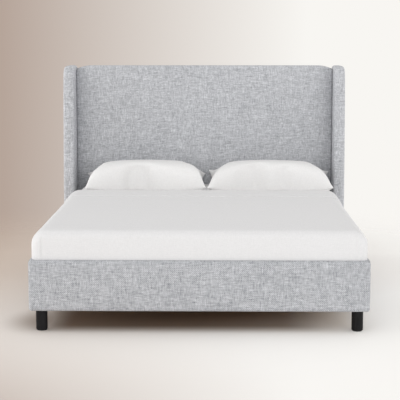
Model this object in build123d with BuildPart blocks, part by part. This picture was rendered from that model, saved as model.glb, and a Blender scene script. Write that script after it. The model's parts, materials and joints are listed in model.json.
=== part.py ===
from build123d import *
import os
from math import asin, degrees

os.makedirs("parts", exist_ok=True)

# An upholstered wingback platform bed of queen size, with its mattress, bedding and two pillows.
# Millimetres. The floor is Z = 0 and the origin lies on it under the middle of the bed.
# +X is to the right seen from the foot, and +Y runs from the footboard to the headboard.

# Mattress
mattress_length = 2032.0
mattress_width = 1524.0
mattress_height = 235.0
mattress_corner = 90.0
mattress_edge = 70.0
mattress_lower_edge = 30.0
mattress_end_gap = 8.0
mattress_side_gap = 2.0
soft_gap = 0.3

# Frame box and its upholstery
underside = 100.0
frame_height = 238.0
fabric = 1.5
hem = 60.0
rail_board = 18.0
rail_foam = 5.0
rail_edge = 9.0
foot_board = 19.0
foot_foam = 12.0
foot_top_foam = 6.0
foot_end_foam = 8.0
foot_edge = 14.0

# Headboard
head_height = 1186.0
head_side_margin = 3.0
head_foam = 35.0
head_top_foam = 6.0
head_edge = 24.0
head_corner_run = 90.0
head_corner_drop = 22.0
head_padding_gap = 2.0
face_board = 6.0
post_width = 70.0
post_depth = 45.0
cross_rail_height = 70.0
middle_rail_bottom = 640.0

# Wings
wing_core = 26.0
wing_foam = 15.5
wing_reach_low = 205.0
wing_reach_high = 140.0
wing_knee = 470.0
wing_knee_radius = 420.0
wing_corner = 62.0
wing_edge = 18.0
wing_edge_start = 60.0
wing_strip_end_gap = 60.0
wing_bolt_reach = 34.0
wing_bolt_shares = (0.19, 0.5, 0.81)

# Bolts, threaded inserts and steel corner brackets
bolt_radius = 4.0
bolt_head_radius = 7.0
bolt_head = 4.0
bore_gap = 0.05
insert_radius = 5.5
insert_length = 13.0
bracket_plate = 3.0
bracket_leg = 44.0
bracket_height = 60.0
bracket_lift = 5.0
bracket_corner = 6.0
bracket_bolt_out = 22.0
bracket_bolt_shares = (0.25, 0.75)

# Front legs, corner blocks and floor pads
leg_radius = 27.0
leg_edge = 2.5
leg_block = 56.0
leg_block_height = 50.0
leg_block_edge = 4.0
leg_bolt_down = 30.0
leg_bolt_up = 36.0
pad_height = 4.0
pad_radius = 23.0
rear_pad_radius = 18.0
pad_edge = 1.0

# Slats, cleats, middle beam and its legs
slat_rise = 122.0
slat_count = 13
slat_width = 90.0
slat_thickness = 19.0
slat_edge = 3.0
slat_side_gap = 4.0
slat_end_margin = 60.0
cleat_width = 30.0
cleat_height = 40.0
cleat_end_gap = 4.0
beam_width = 45.0
beam_height = 70.0
beam_edge = 3.0
hanger_plate = 3.0
hanger_seat = 50.0
hanger_cheek = 52.0
hanger_flange = 22.0
center_leg_shares = (-0.29, 0.0, 0.29)
center_leg_radius = 20.0
center_leg_bolt_down = 25.0
center_leg_bolt_up = 40.0
glide_radius = 18.0
glide_height = 10.0
glide_edge = 2.0
glide_stem = 40.0
glide_stem_radius = 4.0
glide_stem_play = 4.0

# Bedding
coverlet_loft = 17.2
coverlet_side_loft = 16.0
coverlet_foot_loft = 21.0
coverlet_shoulder = 70.0
coverlet_foot_edge = 40.0
coverlet_fold = 558.5
cuff_width = 262.0
cuff_loft = 6.0
cuff_edge = 5.0

# Pillows
pillow_left_share = 0.453
pillow_right_share = 0.47
pillow_depth = 508.0
pillow_crown = 124.0
pillow_belly = 48.0
pillow_seam_height = 38.0
pillow_rise = 30.0
pillow_center = 19.0
pillow_split = 12.0
pillow_head_gap = 46.0
pillow_station_shares = (0.0, 0.08, 0.22, 0.5, 0.78, 0.92, 1.0)
pillow_crown_shares = (0.14, 0.55, 0.88, 1.0, 0.88, 0.55, 0.14)
pillow_depth_shares = (1.0, 0.965, 0.95, 0.945, 0.95, 0.965, 1.0)

# Places along the bed that follow from the sizes
frame_top = underside + frame_height
foot_depth = fabric + foot_foam + foot_board + fabric
head_depth = fabric + head_foam + face_board + post_depth + fabric
bed_length = foot_depth + mattress_length + 2 * mattress_end_gap + head_depth
foot_front = -bed_length / 2
foot_back = foot_front + foot_depth
foot_board_back = foot_back - fabric
head_back = bed_length / 2
head_front = head_back - head_depth
head_cloth = head_back - fabric
head_lower = head_front + head_foam
post_front = head_cloth - post_depth
post_middle = head_cloth - post_depth / 2
frame_middle = (foot_board_back + head_lower) / 2
padding_bottom = frame_top + head_padding_gap
mattress_foot = foot_back + mattress_end_gap
mattress_head = head_front - mattress_end_gap
coverlet_foot = mattress_foot - fabric - coverlet_foot_loft
coverlet_head = head_front - coverlet_fold

# Places across the bed
rail_inner = mattress_width / 2 + mattress_side_gap
rail_board_inner = rail_inner + fabric
rail_outer = rail_board_inner + rail_board + rail_foam + fabric
panel_half = rail_outer + head_side_margin
post_outer = panel_half - fabric
post_inner = post_outer - post_width
wing_thickness = wing_core + 2 * (wing_foam + fabric)
coverlet_half = mattress_width / 2 + fabric + coverlet_side_loft

# Heights
slat_top = underside + slat_rise
slat_bottom = slat_top - slat_thickness
beam_bottom = slat_bottom - beam_height
mattress_bottom = slat_top + soft_gap
mattress_top = mattress_bottom + mattress_height
sheet_top = mattress_top + fabric
coverlet_low = frame_top + soft_gap
coverlet_top = sheet_top + coverlet_loft
bracket_bottom = underside + leg_block_height + bracket_lift
bracket_top = bracket_bottom + bracket_height

UPRIGHT = (Align.CENTER, Align.CENTER, Align.MIN)


def keep(piece, name):
    """Label a finished piece and write it to its own file."""
    piece.part.label = name
    export_step(piece.part, f"parts/{name}.step")


def keep_pair(piece, name):
    """Keep a right-hand piece, and its mirror image as the left-hand one."""
    keep(piece, f"right_{name}")
    with BuildPart() as twin:
        mirror(piece.part, about=Plane.YZ)
    keep(twin, f"left_{name}")


def at_y(y):
    """The upright plane across the bed at a place along it."""
    return Plane.XZ.offset(-y)


def box_between(low, high, mode=Mode.ADD):
    """A box between two opposite corners, put into the piece being made."""
    with Locations(tuple((a + b) / 2 for a, b in zip(low, high))):
        Box(*(b - a for a, b in zip(low, high)), mode=mode)


def rectangle_between(low, high):
    """A rectangle between two opposite corners, put into the sketch being drawn."""
    with Locations(tuple((a + b) / 2 for a, b in zip(low, high))):
        Rectangle(*(b - a for a, b in zip(low, high)))


def rods(seats, radius, length, mode=Mode.ADD):
    """Rods or bores that start at each seat and run along its axis."""
    with Locations(*seats):
        Cylinder(radius, length, align=UPRIGHT, mode=mode)


# Footboard: a board with foam on its face, top and ends, wrapped in cloth that is turned over
# the back in a hem.
def footboard_form(inset):
    """The wrapped footboard, drawn in all round by an inset."""
    with BuildPart() as form:
        box_between(
            (-rail_outer + inset, foot_front + inset, underside + inset),
            (rail_outer - inset, foot_back - inset, frame_top - inset),
        )
        fillet(form.edges().filter_by(Axis.Y), foot_edge - inset)
        fillet(form.faces().sort_by(Axis.Y)[0].edges(), foot_edge - inset)
    return form.part


footboard_outer = footboard_form(0)
footboard_inner = footboard_form(fabric)
foot_core_half = rail_outer - fabric - foot_end_foam
foot_core_low = (-foot_core_half, foot_board_back - foot_board, underside + fabric)
foot_core_high = (foot_core_half, foot_board_back, frame_top - fabric - foot_top_foam)

# Seats of the bolts, each pointing into the wood that it is driven into
sides = (-1, 1)
head_wood_depth = post_front - head_lower
bracket_bolt_heights = [bracket_bottom + share * bracket_height for share in bracket_bolt_shares]
bracket_bolt_x = rail_board_inner - bracket_bolt_out
foot_bolt_seats = [
    Plane(origin=(side * bracket_bolt_x, foot_board_back, z), x_dir=(1, 0, 0), z_dir=(0, -1, 0))
    for side in sides for z in bracket_bolt_heights
]
head_bolt_seats = [
    Plane(origin=(side * bracket_bolt_x, head_lower, z), x_dir=(1, 0, 0), z_dir=(0, 1, 0))
    for side in sides for z in bracket_bolt_heights
]
head_insert_seats = [seat.offset(head_wood_depth) for seat in head_bolt_seats]


def rail_bolt_seats(side):
    """Bolt seats on the bare inner face of one rail board, at its foot and head ends."""
    return [
        Plane(origin=(side * rail_board_inner, y, z), x_dir=(0, 1, 0), z_dir=(side, 0, 0))
        for y in (foot_board_back + bracket_bolt_out, head_lower - bracket_bolt_out)
        for z in bracket_bolt_heights
    ]


def wing_bolt_seats(side):
    """Bolt seats on the inner face of one post, below each other up the wing."""
    heights = [share * head_height for share in wing_bolt_shares]
    return [
        Plane(origin=(side * post_inner, post_middle, z), x_dir=(0, 1, 0), z_dir=(side, 0, 0))
        for z in heights
    ]


with BuildPart() as footboard_board:
    box_between(foot_core_low, foot_core_high)
    add(footboard_inner, mode=Mode.INTERSECT)
    rods(foot_bolt_seats, insert_radius, insert_length, Mode.SUBTRACT)
keep(footboard_board, "footboard_board")

with BuildPart() as footboard_foam:
    add(footboard_inner)
    box_between(foot_core_low, foot_core_high, Mode.SUBTRACT)
keep(footboard_foam, "footboard_foam")

with BuildPart() as footboard_cover:
    add(footboard_outer)
    add(footboard_inner, mode=Mode.SUBTRACT)
    box_between(
        (-rail_board_inner, foot_board_back, underside),
        (rail_board_inner, foot_back, frame_top - hem),
        Mode.SUBTRACT,
    )
keep(footboard_cover, "footboard_cover")


# Side rails: the same wrap over a board, with foam on the outer side only. They butt against the
# footboard's back and against the unpadded foot of the headboard.
def rail_form(inset):
    """The wrapped right-hand rail, drawn in by an inset except at its ends."""
    with BuildPart() as form:
        box_between(
            (rail_inner + inset, foot_back, underside + inset),
            (rail_outer - inset, head_lower, frame_top - inset),
        )
        fillet(form.edges().filter_by(Axis.Y).group_by(Axis.X)[-1], rail_edge - inset)
    return form.part


rail_outer_form = rail_form(0)
rail_inner_form = rail_form(fabric)
rail_board_low = (rail_board_inner, foot_back, underside + fabric)
rail_board_high = (rail_board_inner + rail_board, head_lower, frame_top - fabric)

with BuildPart() as rail_board_piece:
    box_between(rail_board_low, rail_board_high)
    add(rail_inner_form, mode=Mode.INTERSECT)
    rods(rail_bolt_seats(1), insert_radius, insert_length, Mode.SUBTRACT)
keep_pair(rail_board_piece, "rail_board")

with BuildPart() as rail_foam_piece:
    add(rail_inner_form)
    box_between(rail_board_low, rail_board_high, Mode.SUBTRACT)
keep_pair(rail_foam_piece, "rail_foam")

with BuildPart() as rail_cover:
    add(rail_outer_form)
    add(rail_inner_form, mode=Mode.SUBTRACT)
    box_between(
        (rail_inner, foot_back, underside),
        (rail_board_inner, head_lower, frame_top - hem),
        Mode.SUBTRACT,
    )
keep_pair(rail_cover, "rail_cover")


# Headboard: two posts and three cross rails behind a face board, padded above the rails, with a
# cloth cover open at the back and a plain cloth closing the back.
def head_outline(side_inset, top_inset, low):
    """The front outline of the headboard, its top falling in an arc at each end."""
    corner_radius = (head_corner_run**2 + head_corner_drop**2) / (2 * head_corner_drop)
    radius = corner_radius - top_inset
    sweep_angle = degrees(asin((head_corner_run - side_inset) / radius))
    center_x = panel_half - head_corner_run
    center_z = head_height - corner_radius
    side = panel_half - side_inset
    with BuildSketch() as outline:
        with BuildLine():
            right = CenterArc((center_x, center_z), radius, 90 - sweep_angle, sweep_angle)
            left = CenterArc((-center_x, center_z), radius, 90, sweep_angle)
            Line(right @ 1, left @ 0)
            Polyline(left @ 1, (-side, low), (side, low), right @ 0)
        make_face()
    return outline.sketch


def headboard_form(inset):
    """The upholstered panel drawn in by an inset, open downwards and backwards."""
    with BuildPart() as form:
        with BuildSketch(at_y(head_cloth)):
            add(head_outline(inset, inset, underside))
        extrude(amount=head_cloth - head_lower - inset)
        with BuildSketch(at_y(head_lower + inset)):
            add(head_outline(inset, inset, padding_bottom + inset))
        extrude(amount=head_foam)
        fillet(form.faces().sort_by(Axis.Y)[0].edges(), head_edge - inset)
    return form.part


headboard_outer = headboard_form(0)
headboard_inner = headboard_form(fabric)
frame_top_inset = fabric + head_top_foam

with BuildPart() as headboard_cover:
    add(headboard_outer)
    add(headboard_inner, mode=Mode.SUBTRACT)
    rods(head_bolt_seats, bolt_radius + bore_gap, fabric, Mode.SUBTRACT)
    for side in sides:
        rods(wing_bolt_seats(side), bolt_radius + bore_gap, post_width + fabric, Mode.SUBTRACT)
keep(headboard_cover, "headboard_cover")

with BuildPart() as headboard_foam:
    add(headboard_inner)
    with BuildSketch(at_y(head_cloth)):
        add(head_outline(fabric, frame_top_inset, underside))
    extrude(amount=head_cloth - head_lower - fabric, mode=Mode.SUBTRACT)
keep(headboard_foam, "headboard_foam")

with BuildPart() as headboard_face_board:
    with BuildSketch(at_y(post_front)):
        add(head_outline(fabric, frame_top_inset, underside))
    extrude(amount=face_board)
    rods(head_bolt_seats, bolt_radius + bore_gap, head_wood_depth, Mode.SUBTRACT)
keep(headboard_face_board, "headboard_face_board")

with BuildPart() as headboard_back_cloth:
    with BuildSketch(at_y(head_back)):
        add(head_outline(0, 0, underside))
    extrude(amount=fabric)
keep(headboard_back_cloth, "headboard_back_cloth")

with BuildPart() as headboard_post:
    with BuildSketch(at_y(head_cloth)) as post_face:
        add(head_outline(fabric, frame_top_inset, pad_height))
        with Locations(((post_inner + post_outer) / 2, head_height / 2)):
            Rectangle(post_width, head_height, mode=Mode.INTERSECT)
    extrude(amount=post_depth)
    rods(head_insert_seats, insert_radius, insert_length, Mode.SUBTRACT)
    rods(wing_bolt_seats(1), bolt_radius + bore_gap, post_width, Mode.SUBTRACT)
keep_pair(headboard_post, "headboard_post")

with BuildPart() as headboard_top_rail:
    with BuildSketch(at_y(head_cloth)):
        add(head_outline(fabric, frame_top_inset, head_height - frame_top_inset - cross_rail_height))
        with Locations((0, head_height / 2)):
            Rectangle(2 * post_inner, head_height, mode=Mode.INTERSECT)
    extrude(amount=post_depth)
keep(headboard_top_rail, "headboard_top_rail")

for rail_name, rail_bottom in (("middle", middle_rail_bottom), ("bottom", underside)):
    with BuildPart() as cross_rail:
        box_between(
            (-post_inner, post_front, rail_bottom),
            (post_inner, head_cloth, rail_bottom + cross_rail_height),
        )
    keep(cross_rail, f"headboard_{rail_name}_rail")


# Wings: a board with foam on both faces and round its free edges, standing outside the headboard
# and the rails. The front edge is upright beside the mattress and leans back above it.
def wing_sketch(front_inset, back_inset):
    """The side outline of a wing, drawn in at its free edges and at its back."""
    front_low = head_front - wing_reach_low + front_inset
    front_high = head_front - wing_reach_high + front_inset
    back = head_back - back_inset
    top = head_height - front_inset
    with BuildSketch() as outline:
        with BuildLine():
            Polyline(
                (back, underside), (front_low, underside), (front_low, wing_knee),
                (front_high, top), (back, top), close=True,
            )
        make_face()
        fillet(outline.vertices().sort_by_distance((front_high, top))[0], wing_corner - front_inset)
        fillet(outline.vertices().sort_by_distance((front_low, wing_knee))[0], wing_knee_radius)
    return outline.sketch


def wing_form(inset):
    """The wrapped right-hand wing drawn in by an inset but open at its foot, its rims rounded."""
    with BuildPart() as form:
        with BuildSketch(Plane.YZ.offset(panel_half + inset)):
            add(wing_sketch(inset, inset))
        extrude(amount=wing_thickness - 2 * inset)
        rims = form.faces().filter_by(Plane.YZ).edges()
        rims = rims.filter_by(lambda rim: rim.center().Z > underside + wing_edge_start)
        fillet(rims.filter_by(lambda rim: rim.center().Y < head_cloth - fabric), wing_edge - inset)
    return form.part


wing_outer_form = wing_form(0)
wing_inner_form = wing_form(fabric)
wing_padding = fabric + wing_foam

with BuildPart() as wing_core_piece:
    with BuildSketch(Plane.YZ.offset(panel_half + wing_padding)):
        add(wing_sketch(wing_padding, fabric))
    extrude(amount=wing_core)
    box_between(
        (panel_half + fabric, post_front, underside + wing_strip_end_gap),
        (panel_half + wing_padding, head_cloth, head_height - wing_padding - wing_strip_end_gap),
    )
wing_core_solid = wing_core_piece.part

with BuildPart() as wing_foam_piece:
    add(wing_inner_form)
    add(wing_core_solid, mode=Mode.SUBTRACT)
keep_pair(wing_foam_piece, "wing_foam")

with BuildPart() as wing_core_bored:
    add(wing_core_solid)
    rods(wing_bolt_seats(1), bolt_radius + bore_gap, post_width + fabric + wing_bolt_reach, Mode.SUBTRACT)
keep_pair(wing_core_bored, "wing_core")

with BuildPart() as wing_cover:
    add(wing_outer_form)
    add(wing_inner_form, mode=Mode.SUBTRACT)
    rods(wing_bolt_seats(1), bolt_radius + bore_gap, post_width + 2 * fabric, Mode.SUBTRACT)
keep_pair(wing_cover, "wing_cover")


# Threaded inserts and steel brackets of the four corners
rail_seats = rail_bolt_seats(-1) + rail_bolt_seats(1)
insert_seats = rail_seats + foot_bolt_seats + head_insert_seats
with BuildPart() as threaded_inserts:
    rods(insert_seats, insert_radius, insert_length)
    rods(insert_seats, bolt_radius + bore_gap, insert_length, Mode.SUBTRACT)
keep(threaded_inserts, "threaded_inserts")

with BuildPart() as rail_brackets:
    for wall, way in ((foot_board_back, 1), (head_lower, -1)):
        arm_end = wall + way * bracket_leg
        plate_face = wall + way * bracket_plate
        box_between(
            (rail_board_inner - bracket_plate, min(wall, arm_end), bracket_bottom),
            (rail_board_inner, max(wall, arm_end), bracket_top),
        )
        box_between(
            (rail_board_inner - bracket_leg, min(wall, plate_face), bracket_bottom),
            (rail_board_inner, max(wall, plate_face), bracket_top),
        )
    chamfer(rail_brackets.edges().group_by(SortBy.LENGTH)[0], bracket_corner)
    mirror(about=Plane.YZ)
    backs = [seat.offset(-bracket_plate) for seat in rail_seats + foot_bolt_seats + head_bolt_seats]
    rods(backs, bolt_radius + bore_gap, bracket_plate, Mode.SUBTRACT)
keep(rail_brackets, "rail_brackets")

# Front legs: round turned legs on hanger bolts under glued corner blocks, on flat floor pads. The
# two headboard posts are the rear legs.
leg_x = rail_board_inner - leg_block / 2
leg_y = foot_board_back + leg_block / 2
leg_places = [(side * leg_x, leg_y) for side in sides]

with BuildPart() as leg_block_piece:
    box_between(
        (leg_x - leg_block / 2, leg_y - leg_block / 2, underside),
        (leg_x + leg_block / 2, leg_y + leg_block / 2, underside + leg_block_height),
    )
    fillet(leg_block_piece.edges().filter_by(Axis.Z).sort_by_distance((0, 0, 0))[0], leg_block_edge)
    rods([Plane(origin=(leg_x, leg_y, underside))], bolt_radius + bore_gap, leg_bolt_up, Mode.SUBTRACT)
keep_pair(leg_block_piece, "leg_block")

with BuildPart() as front_leg:
    rods([Plane(origin=(leg_x, leg_y, pad_height))], leg_radius, underside - pad_height)
    chamfer(front_leg.edges().group_by(Axis.Z)[0], leg_edge)
    bolt_seat = Plane(origin=(leg_x, leg_y, underside - leg_bolt_down))
    rods([bolt_seat], bolt_radius + bore_gap, leg_bolt_down, Mode.SUBTRACT)
keep_pair(front_leg, "front_leg")

with BuildPart() as foot_pads:
    rods([Plane(origin=(*place, 0)) for place in leg_places], pad_radius, pad_height)
    rear_x = (post_inner + post_outer) / 2
    rods([Plane(origin=(side * rear_x, post_middle, 0)) for side in sides], rear_pad_radius, pad_height)
    chamfer(foot_pads.edges().group_by(Axis.Z)[0], pad_edge)
keep(foot_pads, "foot_pads")

# Slats on two cleats and a middle beam, which hangs in steel cups and stands on three legs
cleat_low = foot_board_back + bracket_leg + cleat_end_gap
cleat_high = head_lower - bracket_leg - cleat_end_gap
with BuildPart() as slat_cleat:
    box_between(
        (rail_board_inner - cleat_width, cleat_low, slat_bottom - cleat_height),
        (rail_board_inner, cleat_high, slat_bottom),
    )
    fillet(slat_cleat.edges().filter_by(Axis.Y).group_by(Axis.X)[0], slat_edge)
keep_pair(slat_cleat, "slat_cleat")

slat_half = rail_board_inner - slat_side_gap
slat_pitch = (head_lower - foot_back - 2 * slat_end_margin - slat_width) / (slat_count - 1)
for number in range(slat_count):
    slat_foot = foot_back + slat_end_margin + number * slat_pitch
    with BuildPart() as slat:
        box_between((-slat_half, slat_foot, slat_bottom), (slat_half, slat_foot + slat_width, slat_top))
        fillet(slat.edges().filter_by(Axis.X), slat_edge)
    keep(slat, f"slat_{number + 1:02d}")

center_leg_places = [
    (0, frame_middle + share * (head_lower - foot_board_back)) for share in center_leg_shares
]
with BuildPart() as center_beam:
    box_between(
        (-beam_width / 2, foot_board_back + hanger_plate, beam_bottom),
        (beam_width / 2, head_lower - hanger_plate, slat_bottom),
    )
    fillet(center_beam.edges().filter_by(Axis.Y), beam_edge)
    leg_seats = [Plane(origin=(*place, beam_bottom)) for place in center_leg_places]
    rods(leg_seats, bolt_radius + bore_gap, center_leg_bolt_up, Mode.SUBTRACT)
keep(center_beam, "center_beam")

with BuildPart() as beam_hangers:
    cup_half = beam_width / 2 + hanger_plate
    cup_low = beam_bottom - hanger_plate
    cup_high = cup_low + hanger_cheek
    cup_back = foot_board_back + hanger_plate
    cup_front = foot_board_back + hanger_seat
    flange_half = cup_half + hanger_flange
    box_between((-flange_half, foot_board_back, cup_low), (flange_half, cup_back, cup_high))
    fillet(beam_hangers.edges().filter_by(Axis.Y), bracket_corner)
    box_between((-cup_half, foot_board_back, cup_low), (cup_half, cup_front, cup_high))
    box_between(
        (-beam_width / 2, cup_back, beam_bottom),
        (beam_width / 2, cup_front, cup_high),
        Mode.SUBTRACT,
    )
    mirror(about=at_y(frame_middle))
keep(beam_hangers, "beam_hangers")

for number, place in enumerate(center_leg_places, start=1):
    with BuildPart() as center_leg:
        rods([Plane(origin=(*place, glide_height))], center_leg_radius, beam_bottom - glide_height)
        chamfer(center_leg.edges().group_by(Axis.Z)[0], leg_edge)
        bolt_seat = Plane(origin=(*place, beam_bottom - center_leg_bolt_down))
        rods([bolt_seat], bolt_radius + bore_gap, center_leg_bolt_down, Mode.SUBTRACT)
        stem_seat = Plane(origin=(*place, glide_height))
        stem_bore = glide_stem + glide_stem_play
        rods([stem_seat], glide_stem_radius + bore_gap, stem_bore, Mode.SUBTRACT)
    keep(center_leg, f"center_leg_{number}")

    with BuildPart() as center_glide:
        rods([Plane(origin=(*place, 0))], glide_radius, glide_height)
        chamfer(center_glide.edges().group_by(Axis.Z)[0], glide_edge)
        rods([Plane(origin=(*place, glide_height))], glide_stem_radius, glide_stem)
    keep(center_glide, f"center_glide_{number}")


# Bolts: at the corner brackets, through the posts into the wings, and the headless hanger bolts
# that hold the legs
def bolts(seats, length):
    """Bolts driven along their seats, each with its round head standing on the seat."""
    rods(seats, bolt_radius, length)
    rods([seat.offset(-bolt_head) for seat in seats], bolt_head_radius, bolt_head)


plate_seats = [seat.offset(-bracket_plate) for seat in rail_seats + foot_bolt_seats]
head_plate_seats = [seat.offset(-bracket_plate) for seat in head_bolt_seats]
wing_seats = wing_bolt_seats(-1) + wing_bolt_seats(1)
beam_bolt_low = beam_bottom - center_leg_bolt_down
hanger_bolt_seats = [Plane(origin=(*place, underside - leg_bolt_down)) for place in leg_places]
beam_bolt_seats = [Plane(origin=(*place, beam_bolt_low)) for place in center_leg_places]
with BuildPart() as frame_bolts:
    bolts(plate_seats, bracket_plate + insert_length)
    bolts(head_plate_seats, bracket_plate + head_wood_depth + insert_length)
    bolts(wing_seats, post_width + fabric + wing_bolt_reach)
    rods(hanger_bolt_seats, bolt_radius, leg_bolt_down + leg_bolt_up)
    rods(beam_bolt_seats, bolt_radius, center_leg_bolt_down + center_leg_bolt_up)
keep(frame_bolts, "frame_bolts")


# Mattress and the fitted sheet drawn tight over it
def mattress_form(grow, low):
    """The rounded mattress grown all round, from a given height up."""
    middle = (mattress_foot + mattress_head) / 2
    with BuildPart() as form:
        with BuildSketch(Plane.XY.offset(low)):
            with Locations((0, middle)):
                RectangleRounded(
                    mattress_width + 2 * grow, mattress_length + 2 * grow, mattress_corner + grow
                )
        extrude(amount=mattress_top + grow - low)
        fillet(form.faces().sort_by(Axis.Z)[-1].edges(), mattress_edge + grow)
    return form.part


sheet_outer_form = mattress_form(fabric, mattress_bottom + mattress_lower_edge)

with BuildPart() as mattress:
    add(mattress_form(0, mattress_bottom))
    fillet(mattress.faces().sort_by(Axis.Z)[0].edges(), mattress_lower_edge)
keep(mattress, "mattress")

with BuildPart() as fitted_sheet:
    add(sheet_outer_form)
    add(mattress.part, mode=Mode.SUBTRACT)
keep(fitted_sheet, "fitted_sheet")


# Coverlet: drawn over the foot and both sides down to the frame, its head end folded back in a
# deep cuff.
def drape_form(foot_end, head_end, grow):
    """A band of the bedding's outside between two places along the bed, grown outwards."""
    half = coverlet_half + grow
    top = coverlet_top + grow
    with BuildPart() as form:
        with BuildSketch(at_y(head_end)) as across:
            rectangle_between((-half, coverlet_low), (half, top))
            fillet(across.vertices().group_by(Axis.Y)[-1], coverlet_shoulder + grow)
        extrude(amount=head_end - foot_end)
    return form.part


def end_rim(form, which):
    """The rim of a band's foot or head end, without its straight bottom edge."""
    end = form.faces().sort_by(Axis.Y)[which]
    return end.edges().filter_by(lambda edge: edge.center().Z > coverlet_low + cuff_edge)


with BuildPart() as coverlet:
    add(drape_form(coverlet_foot, coverlet_head, 0))
    fillet(end_rim(coverlet, 0), coverlet_foot_edge)
    add(drape_form(coverlet_head - cuff_width, coverlet_head, cuff_loft))
    fillet(end_rim(coverlet, -1), cuff_edge)
    add(sheet_outer_form, mode=Mode.SUBTRACT)
keep(coverlet, "coverlet")


# Pillows: crowned, their long sides drawn in between the corners, flat where they lie
def pillow_solid(left, width):
    """One pillow from its left end, lofted through sections across its depth."""
    seat = sheet_top + soft_gap
    middle_y = head_front - pillow_head_gap - pillow_depth / 2
    middle_z = seat + pillow_seam_height
    with BuildPart() as form:
        for station, crown, depth in zip(pillow_station_shares, pillow_crown_shares, pillow_depth_shares):
            reach = depth * pillow_depth / 2
            rise = depth * pillow_rise / 2
            front = (middle_y - reach, middle_z - rise)
            back = (middle_y + reach, middle_z + rise)
            with BuildSketch(Plane.YZ.offset(left + station * width)):
                with BuildLine():
                    ThreePointArc(front, (middle_y, middle_z + crown * pillow_crown), back)
                    ThreePointArc(back, (middle_y, middle_z - crown * pillow_belly), front)
                make_face()
        loft()
        split(bisect_by=Plane.XY.offset(seat), keep=Keep.TOP)
    return form.part


pillow_left_width = pillow_left_share * mattress_width
pillow_right_width = pillow_right_share * mattress_width
pillow_ends = (
    ("left_pillow", pillow_center - pillow_split / 2 - pillow_left_width, pillow_left_width),
    ("right_pillow", pillow_center + pillow_split / 2, pillow_right_width),
)
for pillow_name, pillow_left, pillow_width in pillow_ends:
    with BuildPart() as pillow:
        add(pillow_solid(pillow_left, pillow_width))
    keep(pillow, pillow_name)
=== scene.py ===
"""The dressed model of an upholstered wingback platform bed.

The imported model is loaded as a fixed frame, in metres, with the origin on the floor under the
middle of the bed, +X to the right seen from the foot and +Y towards the headboard. Upholstery and
bedding are made here as pieces of their own, and the wood, steel and plastic of the frame keep
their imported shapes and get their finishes.
"""
import json
import logging
import math
from dataclasses import dataclass, replace
from enum import Enum
from typing import Callable, Iterable, Optional, Sequence

import bmesh
import bpy
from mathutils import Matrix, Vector, noise


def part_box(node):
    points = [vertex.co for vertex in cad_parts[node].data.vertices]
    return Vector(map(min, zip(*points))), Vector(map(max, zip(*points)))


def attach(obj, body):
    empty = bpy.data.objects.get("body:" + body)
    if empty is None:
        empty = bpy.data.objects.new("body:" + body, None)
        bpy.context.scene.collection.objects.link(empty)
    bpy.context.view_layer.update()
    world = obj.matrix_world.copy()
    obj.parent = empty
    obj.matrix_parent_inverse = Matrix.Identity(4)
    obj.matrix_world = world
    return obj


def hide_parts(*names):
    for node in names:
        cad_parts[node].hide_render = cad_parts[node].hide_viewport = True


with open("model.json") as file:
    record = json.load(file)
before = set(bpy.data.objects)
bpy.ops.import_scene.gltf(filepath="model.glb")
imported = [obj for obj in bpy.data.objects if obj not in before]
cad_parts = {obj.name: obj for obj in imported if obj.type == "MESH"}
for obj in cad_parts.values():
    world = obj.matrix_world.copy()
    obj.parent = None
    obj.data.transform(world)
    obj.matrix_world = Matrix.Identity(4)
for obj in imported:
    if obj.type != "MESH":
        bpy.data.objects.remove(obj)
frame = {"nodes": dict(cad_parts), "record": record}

log = logging.getLogger("bed")
Colour = tuple[float, float, float]
Place = tuple[float, float, float]
Pair = tuple[float, float]
Socket, Node, Tree = bpy.types.NodeSocket, bpy.types.Node, bpy.types.NodeTree
Shape, Edge, Face = bmesh.types.BMesh, bmesh.types.BMEdge, bmesh.types.BMFace
Piece = bpy.types.Object
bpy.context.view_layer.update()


# ---- Node trees ----


def painted(red: int, green: int, blue: int) -> Colour:
    """A screen colour, 0 to 255, as the linear colour that a shader takes."""

    def linear(value: int) -> float:
        """One part of the colour, from 0 to 1."""
        share = value / 255
        return share / 12.92 if share <= 0.04045 else ((share + 0.055) / 1.055) ** 2.4

    return linear(red), linear(green), linear(blue)


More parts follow.
